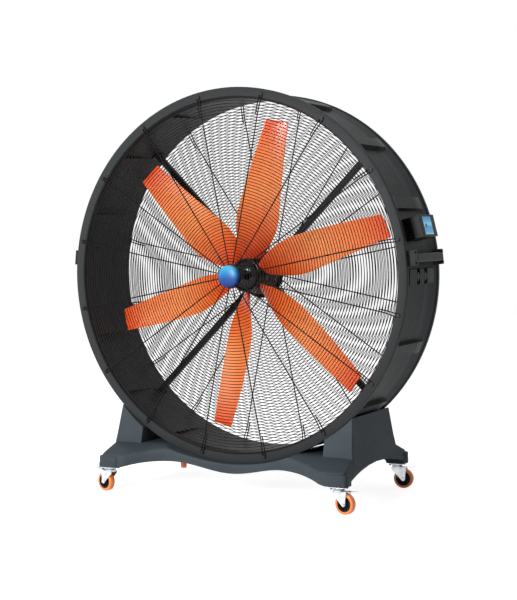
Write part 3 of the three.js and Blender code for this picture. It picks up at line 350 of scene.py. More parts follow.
class Paint(Graph):
    """A material whose colour, roughness and relief come from its graph."""

    def __init__(self, name):
        self.material = bpy.data.materials.new(name)
        super().__init__(self.material, "Principled BSDF")

    def mottle(self, colour, amount=0.12, scale=6.0):
        """Base colour that drifts a little darker and lighter over the surface."""
        dark, light = (
            [min(1, c * (1 + change)) for c in hex_colour(colour)[:3]] + [1]
            for change in (-amount, amount)
        )
        return self.base(self.ramp(self.noise(scale), [(0.35, dark), (0.65, light)]))

    def base(self, colour):
        return self.feed(colour, "Base Color")

    def bump(self, strength, distance, *grain):
        """Relief from a noise of a scale, and as wanted a detail and a stretch."""
        made = self.node("ShaderNodeBump", Strength=strength, Distance=distance)
        self.link(self.noise(*grain), made.inputs["Height"])
        return self.feed(made.outputs["Normal"], "Normal")

    def roughness(self, low, high, scale):
        return self.feed(self.spread(self.noise(scale), low, high), "Roughness")


def moulded(name, colour, low, high, gleam, grain=900.0, strength=0.25):
    """Matt to satin moulded plastic with a fine grain; no colour leaves it to the caller."""
    paint = Paint(name)
    if colour:
        paint.mottle(colour, 0.10, 5.0)
    paint.roughness(low, high, 30.0)
    paint.bump(strength, 0.0004, grain, 2.0)
    return paint.set(Specular_IOR_Level=gleam)


def drum_material():
    """Moulded shell, plain in the bore; on the outside, painted shade darkens the band, a painted
    highlight lightens the rear bevel, and the rear rim is a little darker again.
    """
    paint = moulded("drum_plastic", None, 0.38, 0.50, 0.05)
    # Outside tones: band is painted shade, bevel is a painted highlight where the top light falls, and
    # the last stop is a slightly darker rear rim.
    plain, band_shade, bevel = "303233", "222425", "45494b"
    depth = paint.along("Y", MIDDLE - HALF_DEPTH, MIDDLE + HALF_DEPTH)
    painted_light_bands = paint.ramp(depth, [
        (0.00, plain), (0.13, plain), (0.16, band_shade), (0.66, band_shade),
        (0.74, bevel), (0.90, bevel), (0.94, "2a2c2d"),
    ])
    return paint.base(paint.blend(paint.from_axis(*PAINTED_LIGHT_MASK), plain, painted_light_bands))


def coated(name, colour, low, high, gleam, coat=0.0, strength=0.12):
    """Powder coat or paint with a little orange peel."""
    paint = Paint(name).mottle(colour, 0.08, 12.0)
    paint.roughness(low, high, 60.0)
    paint.bump(strength, 0.0003, 420.0, 2.0)
    return paint.set(Specular_IOR_Level=gleam, Coat_Weight=coat, Coat_Roughness=0.15)


def plated(name, colour, low, high):
    """Zinc or chrome plate with fine scratches and faint cloudiness."""
    paint = Paint(name).mottle(colour, 0.10, 40.0)
    scratches = paint.noise(160.0, 4.0, (1.0, 1.0, 6.0))
    paint.feed(paint.spread(scratches, low, high), "Roughness")
    paint.bump(0.10, 0.0002, 700.0, 2.0, (1.0, 1.0, 5.0))
    return paint.set(Metallic=1.0)


def blade_material():
    paint = Paint("blade_orange")
    # Redder root and tip with a paler middle: partly the blade's own tone, partly a painted reflection on
    # its belly.
    paint.base(paint.ramp(paint.from_axis(ROOT_RADIUS, TIP_RADIUS), [
        (0.0, "ee4416"), (0.20, "f66a28"), (0.48, "fb8f4e"), (0.80, "fa7c3c"), (1.0, "f2511c"),
    ]))
    paint.roughness(0.20, 0.28, 14.0)
    paint.bump(0.04, 0.0006, 90.0, 2.0)
    return paint.set(Coat_Weight=0.15, Coat_Roughness=0.10, Specular_IOR_Level=0.3)


def badge_material():
    paint = Paint("badge_blue")
    height = paint.along("Z", AXIS.z - BADGE_RADIUS, AXIS.z + BADGE_RADIUS)
    paint.base(paint.ramp(height, [(0.0, "0a1f5c"), (0.40, "0d4288"), (0.72, "1c7cb0"), (1.0, "48a3bf")]))
    paint.bump(0.03, 0.0005, 60.0)
    return paint.set(Roughness=0.34, Specular_IOR_Level=0.25)


def tread_material():
    paint = Paint("tread_orange").mottle("ee7f34", 0.08, 25.0)
    paint.roughness(0.28, 0.42, 50.0)
    paint.bump(0.10, 0.0003, 500.0)
    return paint.set(Coat_Weight=0.2, Coat_Roughness=0.2)


def screen_material():
    """Lit display: sky tones with one dark round shape in front of its middle."""
    paint = Paint("screen_glass")
    low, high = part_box("control_screen")
    sky = paint.ramp(paint.along("Z", low.z, high.z), [
        (0.00, "b4e0f4"), (0.12, "58b4e4"), (0.40, "3d9fdb"),
        (0.58, "8fd0f0"), (0.80, "4aa6de"), (1.00, "2f86c8"),
    ])
    centre = Vector(((low.x + high.x) / 2, low.y + (high.y - low.y) * 0.27, (low.z + high.z) / 2))
    distance = paint.vector_math("DISTANCE", paint.coordinates(), centre)
    shown = paint.blend(paint.share(distance, 0.0115, 0.0095), sky, "0c1c30")
    paint.base(shown).feed(shown, "Emission Color")
    return paint.set(Emission_Strength=0.35, Roughness=0.12, Specular_IOR_Level=0.1)


PAINTS = {
    "drum": drum_material(),
    "base": moulded("base_plastic", "3c4348", 0.42, 0.56, 0.05),
    "black": moulded("black_plastic", "1e1f1f", 0.38, 0.52, 0.10, 700.0, 0.2),
    "wire": coated("wire_black", "070708", 0.34, 0.46, 0.12),
    "steel": coated("steel_black", "0d0e0f", 0.38, 0.52, 0.10),
    "motor": coated("motor_paint", "97999a", 0.32, 0.44, 0.50, coat=0.2),
    "gloss": coated("hub_gloss", "080809", 0.12, 0.20, 0.25, coat=0.15, strength=0.04),
    "zinc": plated("zinc_plate", "c9cdd2", 0.20, 0.36),
    "chrome": plated("chrome_plate", "d8dade", 0.08, 0.18),
    "bolt": plated("bolt_black", "2a2b2d", 0.34, 0.48),
    "blade": blade_material(),
    "badge": badge_material(),
    "tread": tread_material(),
    "screen": screen_material(),
}


# ------------ mesh helpers


def put(name, data):
    """New object in the scene."""
    made = bpy.data.objects.new(name, data)
    scene.collection.objects.link(made)
    return made


def add(name, shape, material, replaces=(), body="fan_frame", sharp=radians(32)):
    """Object from a heap, smooth but for its sharp edges, riding on a body."""
    mesh = shape.mesh(name)
    mesh.shade_smooth()
    mesh.set_sharp_from_angle(angle=sharp)
    mesh.materials.append(PAINTS[material].material)
    made = put(name, mesh)
    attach(made, body)
    if replaces:
        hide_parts(*replaces)
    return made


class Heap:
    """Vertices and faces of several shells, for one mesh."""

    def __init__(self):
        self.vertices = []
        self.faces = []

    def grid(self, rows, close_rows=False, close_columns=True):
        """Quads over rows of points, optionally joined end to end."""
        start, count, width = len(self.vertices), len(rows), len(rows[0])
        self.vertices.extend(point for row in rows for point in row)
        for row in range(count if close_rows else count - 1):
            for column in range(width if close_columns else width - 1):
                corners = ((row, column), (row, column + 1), (row + 1, column + 1), (row + 1, column))
                self.faces.append(tuple(start + (r % count) * width + c % width for r, c in corners))

    def loft(self, sections):
        """Closed sections skinned in order, with flat ends."""
        start, count = len(self.vertices), len(sections[0])
        self.grid(sections)
        end = len(self.vertices) - count
        self.faces.append(tuple(range(start, start + count)))
        self.faces.append(tuple(reversed(range(end, end + count))))

    def mesh(self, name):
        mesh = bpy.data.meshes.new(name)
        mesh.from_pydata([tuple(v) for v in self.vertices], [], self.faces)
        shape = bmesh.new()
        shape.from_mesh(mesh)
        bmesh.ops.remove_doubles(shape, verts=shape.verts, dist=1e-6)
        bmesh.ops.recalc_face_normals(shape, faces=shape.faces)
        shape.to_mesh(mesh)
        shape.free()
        return mesh


def basis(axis):
    """Two unit vectors square to an axis."""
    axis = axis.normalized()
    side = UP if abs(axis.z) < 0.9 else RIGHT
    across = axis.cross(side).normalized()
    return across, axis.cross(across).normalized()


def spokes(across, up, count):
    """Unit vectors round a circle."""
    return [across * cos(turn) + up * sin(turn) for turn in angles(count)]


def disc(radius, height):
    """Profile of a plain disc or rod."""
    return [(0, 0), (radius, 0), (radius, height), (0, height)]


def turned(heap, origin, axis, profile, segments=32, closed=False):
    """Profile of (radius, height along the axis) turned round; a closed one doesn't touch the axis."""
    axis = axis.normalized()
    around = spokes(*basis(axis), segments)
    rows = [
        [origin + axis * height + away * max(radius, 1e-7) for away in around]
        for radius, height in profile
    ]
    heap.grid(rows, closed)


def tube(heap, path, radius, sides=8, closed=False):
    """Round wire along a path."""
    rows = []
    count = len(path)
    previous = None
    for index, point in enumerate(path):
        ahead = path[(index + 1) % count] if closed or index < count - 1 else point
        behind = path[index - 1] if closed or index > 0 else point
        tangent = (ahead - behind).normalized()
        if previous is None:
            across, _ = basis(tangent)
        else:
            across = (previous - tangent * previous.dot(tangent)).normalized()
        previous = across
        up = tangent.cross(across)
        rows.append([point + away * radius for away in spokes(across, up, sides)])
    if closed:
        heap.grid(rows, close_rows=True)
    else:
        heap.loft(rows)


def hex_bolt(heap, origin, axis, across_flats, height, washer=1.25):
    """Hexagon head with a chamfer on a round washer; origin is on the seat."""
    across, up = basis(axis)
    axis = axis.normalized()
    corner = across_flats / sqrt(3)
    plate = height * 0.22
    wide = across_flats / 2 * washer
    turned(heap, origin, axis, disc(wide, plate), 20)
    sections = []
    for scale, level in ((1, plate), (1, height * 0.88), (0.86, height)):
        sections.append([origin + axis * level + away * corner * scale for away in spokes(across, up, 6)])
    heap.loft(sections)


def pan_screw(heap, origin, axis, radius, height):
    """Round screw head with a shallow dome."""
    shares = (0, 0), (1, 0), (1, 0.35), (0.85, 0.75), (0.45, 1), (0.30, 1), (0.22, 0.6), (0, 0.6)
    turned(heap, origin, axis, [(radius * wide, height * high) for wide, high in shares], 16)


def rounded_outline(width, height, corner):
    """Closed outline in two directions, centred."""
    outline = []
    for quarter, (sx, sy) in enumerate(((1, -1), (1, 1), (-1, 1), (-1, -1))):
        centre = (sx * (width / 2 - corner), sy * (height / 2 - corner))
        outline += arc(centre, corner, 90 * (quarter - 1), 90 * quarter, 4)
    return outline


def pillow(heap, origin, u, v, w, size, corner, edge):
    """Box with round corners in u and v and round edges at both ends of w; origin is its middle."""
    width, height, depth = size
    sections = []
    levels = arc((edge, edge - depth / 2), edge, -90, -180, 3)
    levels += [(inset, -level) for inset, level in reversed(levels)]
    for inset, level in levels:
        outline = rounded_outline(width - 2 * inset, height - 2 * inset, max(corner - inset, 1e-4))
        sections.append([origin + u * a + v * b + w * level for a, b in outline])
    heap.loft(sections)


def soften_edges(made, width, segments, least):
    """Bevel on the edges that are sharper than an angle in degrees."""
    soften = made.modifiers.new("bevel", "BEVEL")
    soften.width = width
    soften.segments = segments
    soften.limit_method = "ANGLE"
    soften.angle_limit = radians(least)
    return soften


# material, bevel width and segments of the nodes that stay
KEPT = (
    ("zinc", 0.0010, 2, ["rotor_shaft"]),
    ("motor", 0.0012, 2, ["motor_housing"]),
    ("steel", 0.0010, 2, ["motor_mount_plate"]),
    ("black", 0.0015, 2, ["motor_terminal_box"]),
    ("steel", 0.0022, 2, ["strut_1", "strut_2", "strut_3", "strut_4"]),
    ("steel", 0.0020, 2, ["saddle_right", "saddle_left"]),
    ("black", 0.0030, 3, ["handle_right", "handle_left", "control_housing"]),
    ("steel", 0.0008, 2, ["control_heat_sink"]),
    ("black", 0.0012, 2, ["control_bezel"]),
    ("screen", 0.0006, 2, ["control_screen"]),
    ("black", 0.0008, 2, ["control_cable_gland"]),
)


def keep_nodes():
    """Nodes that stay get their material and softened edges."""
    for material, width, segments, names in KEPT:
        for made in (frame["nodes"][name] for name in names):
            made.data.materials.clear()
            made.data.materials.append(PAINTS[material].material)
            made.modifiers.new("weld", "WELD").merge_threshold = 1e-5
            soften_edges(made, width, segments, 35)
            flatten = made.modifiers.new("flatten", "WEIGHTED_NORMAL")
            flatten.mode = "FACE_AREA"
            flatten.weight = 100


# ------------ drum


def shell_radius(depth):
    """Outside of the plain shell between the flanges."""
    return mix(BAND_RADIUS, CONE_TOP, ramp(depth, BAND_BACK, RIM_FRONT))


def bore_radius(depth):
    """Inside of the plain shell."""
    return mix(THROAT, REAR_OPENING, ramp(depth, FLANGE_BACK, REAR))


def outside(depth, rim, joint):
    """Outside radius at a distance along the rim from the nearest rib or joint."""
    plain = shell_radius(depth)
    if joint:
        along = ramp(depth, BOSS_FRONT - 0.003, BOSS_FRONT) * ramp(depth, BOSS_REAR + 0.003, BOSS_REAR)
        raised = plain + max(0, BOSS_TOP - plain) * along * ramp(abs(rim), BOSS_FOOT, BOSS_CREST)
        beside = ramp(abs(rim), POCKET_WALL - POCKET_SLOPE, POCKET_WALL + POCKET_SLOPE)
        beside *= ramp(abs(rim), BOSS_FOOT + 0.0005, BOSS_FOOT)
        inside = max(
            ramp(abs(depth - bolt), POCKET_HALF_LENGTH + POCKET_SLOPE, POCKET_HALF_LENGTH - POCKET_SLOPE)
            for bolt in BOLT_DEPTHS
        )
        return mix(raised, min(raised, POCKET_FLOOR), beside * inside)
    along = ramp(depth, RIB_END + 0.012, RIB_END - 0.010)
    return plain + max(0, RIB_TOP - plain) * along * ramp(abs(rim), RIB_FOOT, RIB_CREST)


def inside(depth, rim, joint):
    plain = bore_radius(depth)
    if joint:
        return plain
    return max(plain, mix(plain, GROOVE_FLOOR, ramp(abs(rim), GROOVE_MOUTH, GROOVE_BED)))


DEPTHS = sorted(
    [FLANGE_BACK + 0.004, RIB_END - 0.010, RIB_END, RIB_END + 0.012, BAND_BACK]
    + [BOSS_FRONT - 0.003, BOSS_FRONT, BOSS_REAR, BOSS_REAR + 0.003, RIM_FRONT - 0.001]
    + [
        bolt + side * (POCKET_HALF_LENGTH + off)
        for bolt in BOLT_DEPTHS
        for side in (-1, 1)
        for off in (-POCKET_SLOPE, POCKET_SLOPE)
    ]
)


def drum_section(angle, rim, joint):
    """Closed profile of the shell at one angle, out along the front, back along the bore."""
    points = [
        (FRONT_OPENING + 0.0015, FRONT), (DRUM_RADIUS - 0.0035, FRONT),
        (DRUM_RADIUS - 0.0010, FRONT + 0.0010), (DRUM_RADIUS, FRONT + 0.0035),
        (DRUM_RADIUS, FLANGE_BACK - 0.0020), (DRUM_RADIUS - 0.0020, FLANGE_BACK),
    ]
    first = outside(DEPTHS[0], rim, joint)
    points += [(first + 0.004, FLANGE_BACK), (first + 0.001, FLANGE_BACK + 0.001)]
    points += [(outside(depth, rim, joint), depth) for depth in DEPTHS]
    points += [
        (CONE_TOP, RIM_FRONT), (REAR_RADIUS, RIM_FRONT + 0.0005), (REAR_RADIUS, REAR - 0.0030),
        (REAR_RADIUS - 0.0010, REAR - 0.0008), (REAR_RADIUS - 0.0030, REAR),
        (REAR_OPENING + 0.0020, REAR), (REAR_OPENING, REAR - 0.0015),
    ]
    inner = [REAR - 0.016, REAR - 0.017, 0.12, 0.04, -0.04, -0.12, FLANGE_BACK + 0.001]
    points += [
        (inside(depth, rim, joint) if depth < REAR - 0.0165 else bore_radius(depth), depth)
        for depth in inner
    ]
    points += [(THROAT + 0.0003, FLANGE_BACK - 0.002), (FRONT_OPENING, FRONT + 0.0015)]
    return [place(radius, angle, depth) for radius, depth in points]


def drum_stations(first, last):
    """Angles across a quarter with their distance from the nearest rib or joint."""
    pitch = 2 * pi / RIBS
    marks = {first + GAP / 2 / BAND_RADIUS, last - GAP / 2 / BAND_RADIUS}
    rib_steps = (RIB_FOOT, 0.0325, RIB_CREST, GROOVE_MOUTH, GROOVE_BED, 0.010, 0.0)
    joint_steps = (
        BOSS_FOOT + 0.0005, BOSS_FOOT, BOSS_CREST, 0.0240,
        POCKET_WALL + POCKET_SLOPE, POCKET_WALL - POCKET_SLOPE,
    )
    quarter_ribs = RIBS // 4
    for index in range(quarter_ribs + 1):
        centre = first + index * pitch
        joint = index in (0, quarter_ribs)
        for step in joint_steps if joint else rib_steps:
            for side in (-1, 1):
                marks.add(centre + side * step / BAND_RADIUS)
        for step in range(1, 12):
            marks.add(centre + pitch * step / 12)
    stations = []
    for mark in sorted(mark for mark in marks if first < mark < last):
        if stations and mark - stations[-1][0] <= CLOSEST_STATIONS:
            continue
        nearest = round((mark - first) / pitch)
        rim = (mark - first - nearest * pitch) * BAND_RADIUS
        stations.append((mark, rim, nearest in (0, quarter_ribs)))
    return stations


def make_drum():
    for first, name in zip(angles(4), ("upper_right", "upper_left", "lower_left", "lower_right")):
        heap = Heap()
        heap.loft([drum_section(*station) for station in drum_stations(first, first + pi / 2)])
        add(f"drum_{name}", heap, "drum", [f"drum_quarter_{name}"])
    bolts = Heap()
    for angle in angles(4):
        tangent = tangent_at(angle)
        for depth in BOLT_DEPTHS:
            for side in (-1, 1):
                seat = place(POCKET_FLOOR + 0.0075, angle, depth) + tangent * side * POCKET_WALL
                hex_bolt(bolts, seat, tangent * side, 0.013, 0.009)
    add("drum_joint_bolts", bolts, "bolt")


# ------------ guards


def guard(name, face, outward):
    """Rings on hairpin wires; outward is -1 on the front, +1 on the rear."""
    axis = BACKWARD * outward
    spoke_depth = face + outward * (SPOKE_WIRE + GAP)
    ring_depth = spoke_depth - outward * (SPOKE_WIRE + RING_WIRE)
    rings = Heap()
    count = int((OUTER_RING - INNER_RING) / RING_PITCH) + 1
    for ring in range(count):
        radius = OUTER_RING - ring * RING_PITCH
        segments = 192 if radius > 0.5 else 128 if radius > 0.2 else 64
        path = [place(radius, angle, ring_depth) for angle in angles(segments)]
        tube(rings, path, RING_WIRE, 6, closed=True)
    add(f"{name}_rings", rings, "wire", [name], sharp=radians(80))
    wires, screws = Heap(), Heap()
    for angle in angles(SPOKES, pi / SPOKES):
        tangent = tangent_at(angle)
        route = [(0.048, 0), (0.840, 0), (0.868, -0.0015), (0.896, -0.0055)]
        route += arc((EYE_CIRCLE, 0), EYE_RADIUS, -90, 90, 8)
        route += [(0.900, 0.0085), (0.870, 0.0110), (EYE_CIRCLE - HAIRPIN_LENGTH, 0.0110)]
        path = [place(r, angle, spoke_depth) + tangent * t for r, t in route]
        tube(wires, path, SPOKE_WIRE, 8)
        seat = place(EYE_CIRCLE, angle, face + outward * (2 * SPOKE_WIRE + GAP))
        stem = place(EYE_CIRCLE, angle, face + outward * GAP)
        turned(screws, stem, axis, disc(0.0030, 2 * SPOKE_WIRE), 12)
        turned(screws, seat, axis, disc(0.0085, 0.0012), 20)
        pan_screw(screws, seat + axis * 0.0012, axis, 0.0062, 0.0034)
    add(f"{name}_wires", wires, "wire")
    add(f"{name}_screws", screws, "bolt")
    plate = Heap()
    thickness = 0.0016
    inner = face + outward * (SPOKE_WIRE * 2 + GAP)
    turned(plate, place(0, 0, inner), axis, [
        (0, 0), (0.061, 0), (0.062, thickness * 0.5), (0.061, thickness), (0, thickness),
    ], 64)
    add(f"{name}_centre", plate, "steel")
    return inner + outward * thickness


def make_guards():
    seat = guard("front_guard", FRONT, -1)
    badge = Heap()
    profile = [(0, 0), (BADGE_RADIUS - 0.001, 0), (BADGE_RADIUS, 0.001), (BADGE_RADIUS, BADGE_RIM)]
    for step in range(1, 9):
        turn = pi / 2 * step / 8
        profile.append((BADGE_RADIUS * cos(turn * 0.98), BADGE_RIM + BADGE_CROWN * sin(turn)))
    profile.append((0, BADGE_RIM + BADGE_CROWN))
    turned(badge, place(0, 0, seat), -BACKWARD, profile, 72)
    add("badge", badge, "badge", ["badge_disc"])
    back = guard("rear_guard", REAR, 1)
    screws = Heap()
    for angle in angles(4, pi / 4):
        pan_screw(screws, place(0.045, angle, back), BACKWARD, 0.005, 0.003)
    add("rear_guard_plate_screws", screws, "bolt")


# ------------ rotor


def blade_chord(radius):
    if radius < BELLY_RADIUS:
        share = (radius - ROOT_RADIUS) / (BELLY_RADIUS - ROOT_RADIUS)
        return mix(ROOT_CHORD, BELLY_CHORD, sin(share**ROOT_SWELL * pi / 2))
    return mix(BELLY_CHORD, TIP_CHORD, ramp(radius, BELLY_RADIUS, TIP_RADIUS))


def blade_twist(radius):
    return atan(TWIST_LEAD / (radius + TWIST_OFFSET))


def blade_section(radius, angle, points=14, inset=0.0):
    """Aerofoil section round the chord; the leading edge is on the anticlockwise side."""
    chord = blade_chord(radius) - 2 * inset
    twist = blade_twist(radius)
    middle = -TIP_SWEEP * ramp(radius, BELLY_RADIUS, TIP_RADIUS) ** 1.5
    share = exp(-(radius - ROOT_RADIUS) / THINNING)
    thickness = mix(TIP_THICKNESS, ROOT_THICKNESS, share) - 1.4 * inset
    section = []
    for index in range(2 * points):
        turn = pi * index / points
        along = cos(turn) / 2
        edge = 1 - (2 * along) ** 2
        side = 1 if turn < pi else -1
        body = sqrt(max(edge, 0.0)) * (0.35 + 0.65 * edge**0.5)
        offset = CAMBER * chord * edge + side * thickness * body / 2
        run = along * chord
        rim = middle + run * cos(twist) + offset * sin(twist)
        depth = BLADE_PLANE - run * sin(twist) + offset * cos(twist)
        section.append(place(radius, angle, depth) + tangent_at(angle) * rim)
    return section


def make_blades():
    stations = [mix(ROOT_RADIUS, TIP_RADIUS, (k / 36) ** 1.25) for k in range(36)]
    for blade, angle in enumerate(angles(BLADES, BLADE_ANGLE), 1):
        heap = Heap()
        sections = [blade_section(radius, angle) for radius in stations]
        sections.append(blade_section(TIP_RADIUS - 0.0012, angle, inset=0.0002))
        sections.append(blade_section(TIP_RADIUS, angle, inset=0.0012))
        heap.loft(sections)
        add(
            f"blade_{blade}_skin", heap, "blade",
            [f"blade_{blade}"], body="rotor", sharp=radians(50),
        )


def make_hub():
    low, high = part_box("hub_body")
    hub, forward = Heap(), -BACKWARD
    turned(hub, place(0, 0, (low.y + high.y) / 2 - MIDDLE), forward, [
        (0.0195, -0.036), (0.070, -0.036), (0.078, -0.033), (0.080, -0.028),
        (0.080, -0.004), (0.083, 0.0), (0.083, 0.028), (0.080, 0.034), (0.072, 0.0365), (0.0195, 0.0365),
    ], 72, closed=True)
    add("hub_drum", hub, "steel", ["hub_body"], body="rotor")
    clamps, bolts = Heap(), Heap()
    twist = blade_twist(ROOT_RADIUS)
    for angle in angles(BLADES, BLADE_ANGLE):
        radial, tangent = radial_at(angle), tangent_at(angle)
        chord = tangent * cos(twist) + forward * sin(twist)
        normal = radial.cross(chord)
        seat = place(0.0815, angle, BLADE_PLANE)
        pillow(clamps, seat, chord, normal, radial, (0.084, 0.034, 0.012), 0.016, 0.002)
        for side in (-1, 1):
            bolt = place(0.060, angle, low.y - MIDDLE + 0.0005) + tangent * side * 0.016
            hex_bolt(bolts, bolt, forward, 0.010, 0.007)
    add("blade_clamps", clamps, "steel", body="rotor")
    dome_low, dome_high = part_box("hub_dome")
    dome, rise = Heap(), dome_high.y - dome_low.y
    profile = [(0, 0), (0.084, 0), (0.086, 0.002), (0.086, 0.006), (0.0845, 0.008), (0.080, 0.0085)]
    for step in range(1, 14):
        turn = pi / 2 * step / 14
        profile.append((0.0785 * cos(turn), 0.0085 + (rise - 0.0085) * sin(turn)))
    profile.append((0, rise))
    turned(dome, place(0, 0, dome_high.y - MIDDLE), forward, profile, 80)
    add("hub_cap", dome, "gloss", ["hub_dome"], body="rotor")


# ------------ motor and struts


def make_motor():
    low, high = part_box("motor_rear_cowl")
    cowl, deep = Heap(), high.y - low.y
    turned(cowl, place(0, 0, low.y - MIDDLE), BACKWARD, [
        (0, 0), (0.0720, 0), (0.0730, 0.001), (0.0730, 0.004), (0.0715, 0.0050), (0.0715, 0.0065),
        (0.0730, 0.0075), (0.0730, deep - 0.010), (0.0716, deep - 0.0055), (0.0680, deep - 0.0015),
        (0.0630, deep),
        *((groove + half, deep - sunk) for groove in COWL_GROOVES for half, sunk in GROOVE_PROFILE),
        (0, deep),
    ], 72)
    add("motor_cowl", cowl, "black", ["motor_rear_cowl"])
    bolts = Heap()
    plate_low, plate_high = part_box("motor_mount_plate")
    flange_front = plate_low.y - MIDDLE - GAP - 0.012
    for angle in angles(8, pi / 8):
        hex_bolt(bolts, place(MOTOR_BOLT_CIRCLE, angle, plate_high.y - MIDDLE), BACKWARD, 0.013, 0.008)
        hex_bolt(bolts, place(MOTOR_BOLT_CIRCLE, angle, flange_front), -BACKWARD, 0.010, 0.006)
    for angle in angles(3, pi / 2):
        pan_screw(bolts, place(0.058, angle, high.y - MIDDLE), BACKWARD, 0.0045, 0.0025)
    add("motor_bolts", bolts, "bolt")


def make_struts():
    bolts = Heap()
    for angle in angles(4, pi / 4):
        radial, tangent = radial_at(angle), tangent_at(angle)
        for side in (-1, 1):
            seat = place(GROOVE_FLOOR - GAP - 0.006, angle, STRUT_FOOT_DEPTH + side * 0.030)
            hex_bolt(bolts, seat, -radial, 0.013, 0.008)
            seat = place(STRUT_HEAD_RADIUS, angle, STRUT_HEAD_DEPTH) + tangent * side * 0.0075
            hex_bolt(bolts, seat, BACKWARD, 0.010, 0.007)
    add("strut_bolts", bolts, "bolt")


# ------------ base


def apron_depth(x):
    share = ramp(abs(x), 0, WAIST_SPAN)
    over = min(CORNER, max(0.0, abs(x) - (HALF_WIDTH - CORNER)))
    rounded = CORNER - sqrt(CORNER**2 - over**2)
    return mix(WAIST_DEPTH, APRON_DEPTH, share**WAIST_CURVE) - rounded


def leaned(x, z):
    """The sides lean in from the feet to the towers."""
    share = ramp(z, FOOT_BOTTOM, DECK) * ramp(abs(x), TOWER_INNER, HALF_WIDTH)
    return x - copysign((HALF_WIDTH - TOWER_FOOT) * share, x)


def wave_height(x):
    reach = abs(x)
    if reach < WAVE_CREST:
        return mix(WAVE_LOW, WAVE_HIGH, (1 - cos(pi * reach / WAVE_CREST)) / 2)
    return mix(WAVE_HIGH, FOOT_BOTTOM, ramp(reach, WAVE_CREST, FOOT_INNER) ** WAVE_CURVE)


def side_arch(y):
    return mix(SIDE_ARCH, FOOT_BOTTOM, ramp(abs(y), 0, FOOT_FACE) ** SIDE_ARCH_CURVE)


def cradle(x):
    """Height of the drum's outside above the floor, at a distance from the middle."""
    return AXIS.z - sqrt(CRADLE_RADIUS**2 - x * x)


def deck_height(x, y):
    height = DECK - max(0.0, abs(y) - SKIRT_START) * SKIRT_SLOPE
    height -= ramp(abs(x), END_START, HALF_WIDTH) * END_DROP
    return min(height, cradle(x))


def base_profile(x, drop=0.0):
    """Front edge up, over the deck and down the back, at one distance from the middle."""
    deep, foot = apron_depth(x), wave_height(x)
    top = deck_height(x, deep) - drop
    half = [
        (deep, foot), (deep, foot + 0.002), (deep, (foot + top) / 2), (deep, top - FILLET),
        (deep - FILLET * 0.3, top - FILLET * 0.3),
    ]
    start = SKIRT_START if deep > SKIRT_START + 0.02 else deep - FILLET - 0.02
    fold = min(SKIRT_START, deep - 0.02)
    stations = [mix(start, deep - FILLET, share) for share in (0.97, 0.85, 0.7)]
    half += [(y, deck_height(x, y) - drop) for y in (*stations, fold, fold - 0.012, 0.20, 0.10)]
    front = [(-y, z) for y, z in half]
    back = [(y, z) for y, z in reversed(half)]
    return front + [(0.0, deck_height(x, 0.0) - drop)] + back


def base_stations():
    reach = HALF_WIDTH - CORNER
    stations = [reach * k / 44 for k in range(-44, 45)]
    ends = []
    for turn in (15, 30, 45, 60, 70, 80):
        inset = CORNER * (1 - sin(radians(turn)))
        over = max(0.0, 1 - inset / FILLET)
        ends.append((HALF_WIDTH - inset, FILLET * (1 - sqrt(1 - over**2))))
    left = [(-x, drop) for x, drop in reversed(ends)]
    return left + [(x, 0.0) for x in stations] + ends


def base_row(x, profile):
    return [Vector((leaned(x, z), MIDDLE + y, z)) for y, z in profile]


def make_base():
    """One skin over aprons, deck and sides, thickened inwards; towers and feet are set on it."""
    rows = [base_row(x, base_profile(x, drop)) for x, drop in base_stations()]
    for side in (-1, 1):
        profile = base_profile(side * HALF_WIDTH, FILLET)
        column = []
        for share in (1.0, 0.75, 0.5, 0.25, 0.0):
            heights = [(y, min(z, mix(side_arch(y), z, share))) for y, z in profile]
            column.append(base_row(side * HALF_WIDTH, heights))
        rows = column[::-1] + rows if side < 0 else rows + column
    heap = Heap()
    heap.grid(rows, close_columns=False)
    skin = add("base_skin", heap, "base", ["base_shell"], sharp=radians(38))
    wall = skin.modifiers.new("wall", "SOLIDIFY")
    wall.thickness = WALL * 0.75
    wall.offset = -1
    make_towers()
    make_feet()


def tower_rows(side):
    """Front face, top and rear face of a tower, from its inner to its outer side."""
    columns = []
    steps = 14
    for share in (index / steps for index in range(steps + 1)):
        foot, head = mix(TOWER_INNER, TOWER_FOOT, share), mix(TOWER_INNER, TOWER_TOP, share)
        high = cradle(head)
        column = []
        for z in (SIDE_ARCH + 0.008, DECK, mix(DECK, high, 1 / 3), mix(DECK, high, 2 / 3), high):
            lean = ramp(z, DECK, TOWER_HEIGHT)
            x = mix(foot, head, lean)
            if share > 0.9:  # the outer side stands just proud of the skin
                x += (HALF_WIDTH - TOWER_FOOT) * max(0.0, DECK - z) / (DECK - FOOT_BOTTOM) + 0.0006
            column.append((x, mix(SKIRT_START, HALF_DEPTH, lean), z))
        columns.append(column)
    rows = []
    for column in columns:
        front = [Vector((side * x, MIDDLE - deep, z)) for x, deep, z in column]
        back = [Vector((side * x, MIDDLE + deep, z)) for x, deep, z in reversed(column)]
        rows.append(front + back)
    return rows


def make_towers():
    for side, name in ((1, "right"), (-1, "left")):
        heap = Heap()
        heap.loft(tower_rows(side))
        piece = add(f"base_tower_{name}", heap, "base")
        soften_edges(piece, 0.006, 3, 40).harden_normals = True


def make_feet():
    heap = Heap()
    for sx in (-1, 1):
        for sy in (-1, 1):
            middle = Vector((
                sx * (FOOT_INNER + HALF_WIDTH) / 2,
                MIDDLE + sy * (FOOT_FACE - FOOT_DEPTH / 2),
                (FOOT_BOTTOM + FOOT_TOP) / 2,
            ))
            size = (HALF_WIDTH - FOOT_INNER, FOOT_DEPTH, FOOT_TOP - FOOT_BOTTOM)
            pillow(heap, middle, RIGHT, BACKWARD, UP, size, CORNER, 0.006)
            pad = Vector((sx * 0.655, MIDDLE + sy * 0.366, FOOT_BOTTOM + 0.012))
            pillow(heap, pad, RIGHT, BACKWARD, UP, (0.100, 0.078, 0.024), 0.010, 0.002)
    add("base_feet", heap, "base")


# ------------ handles


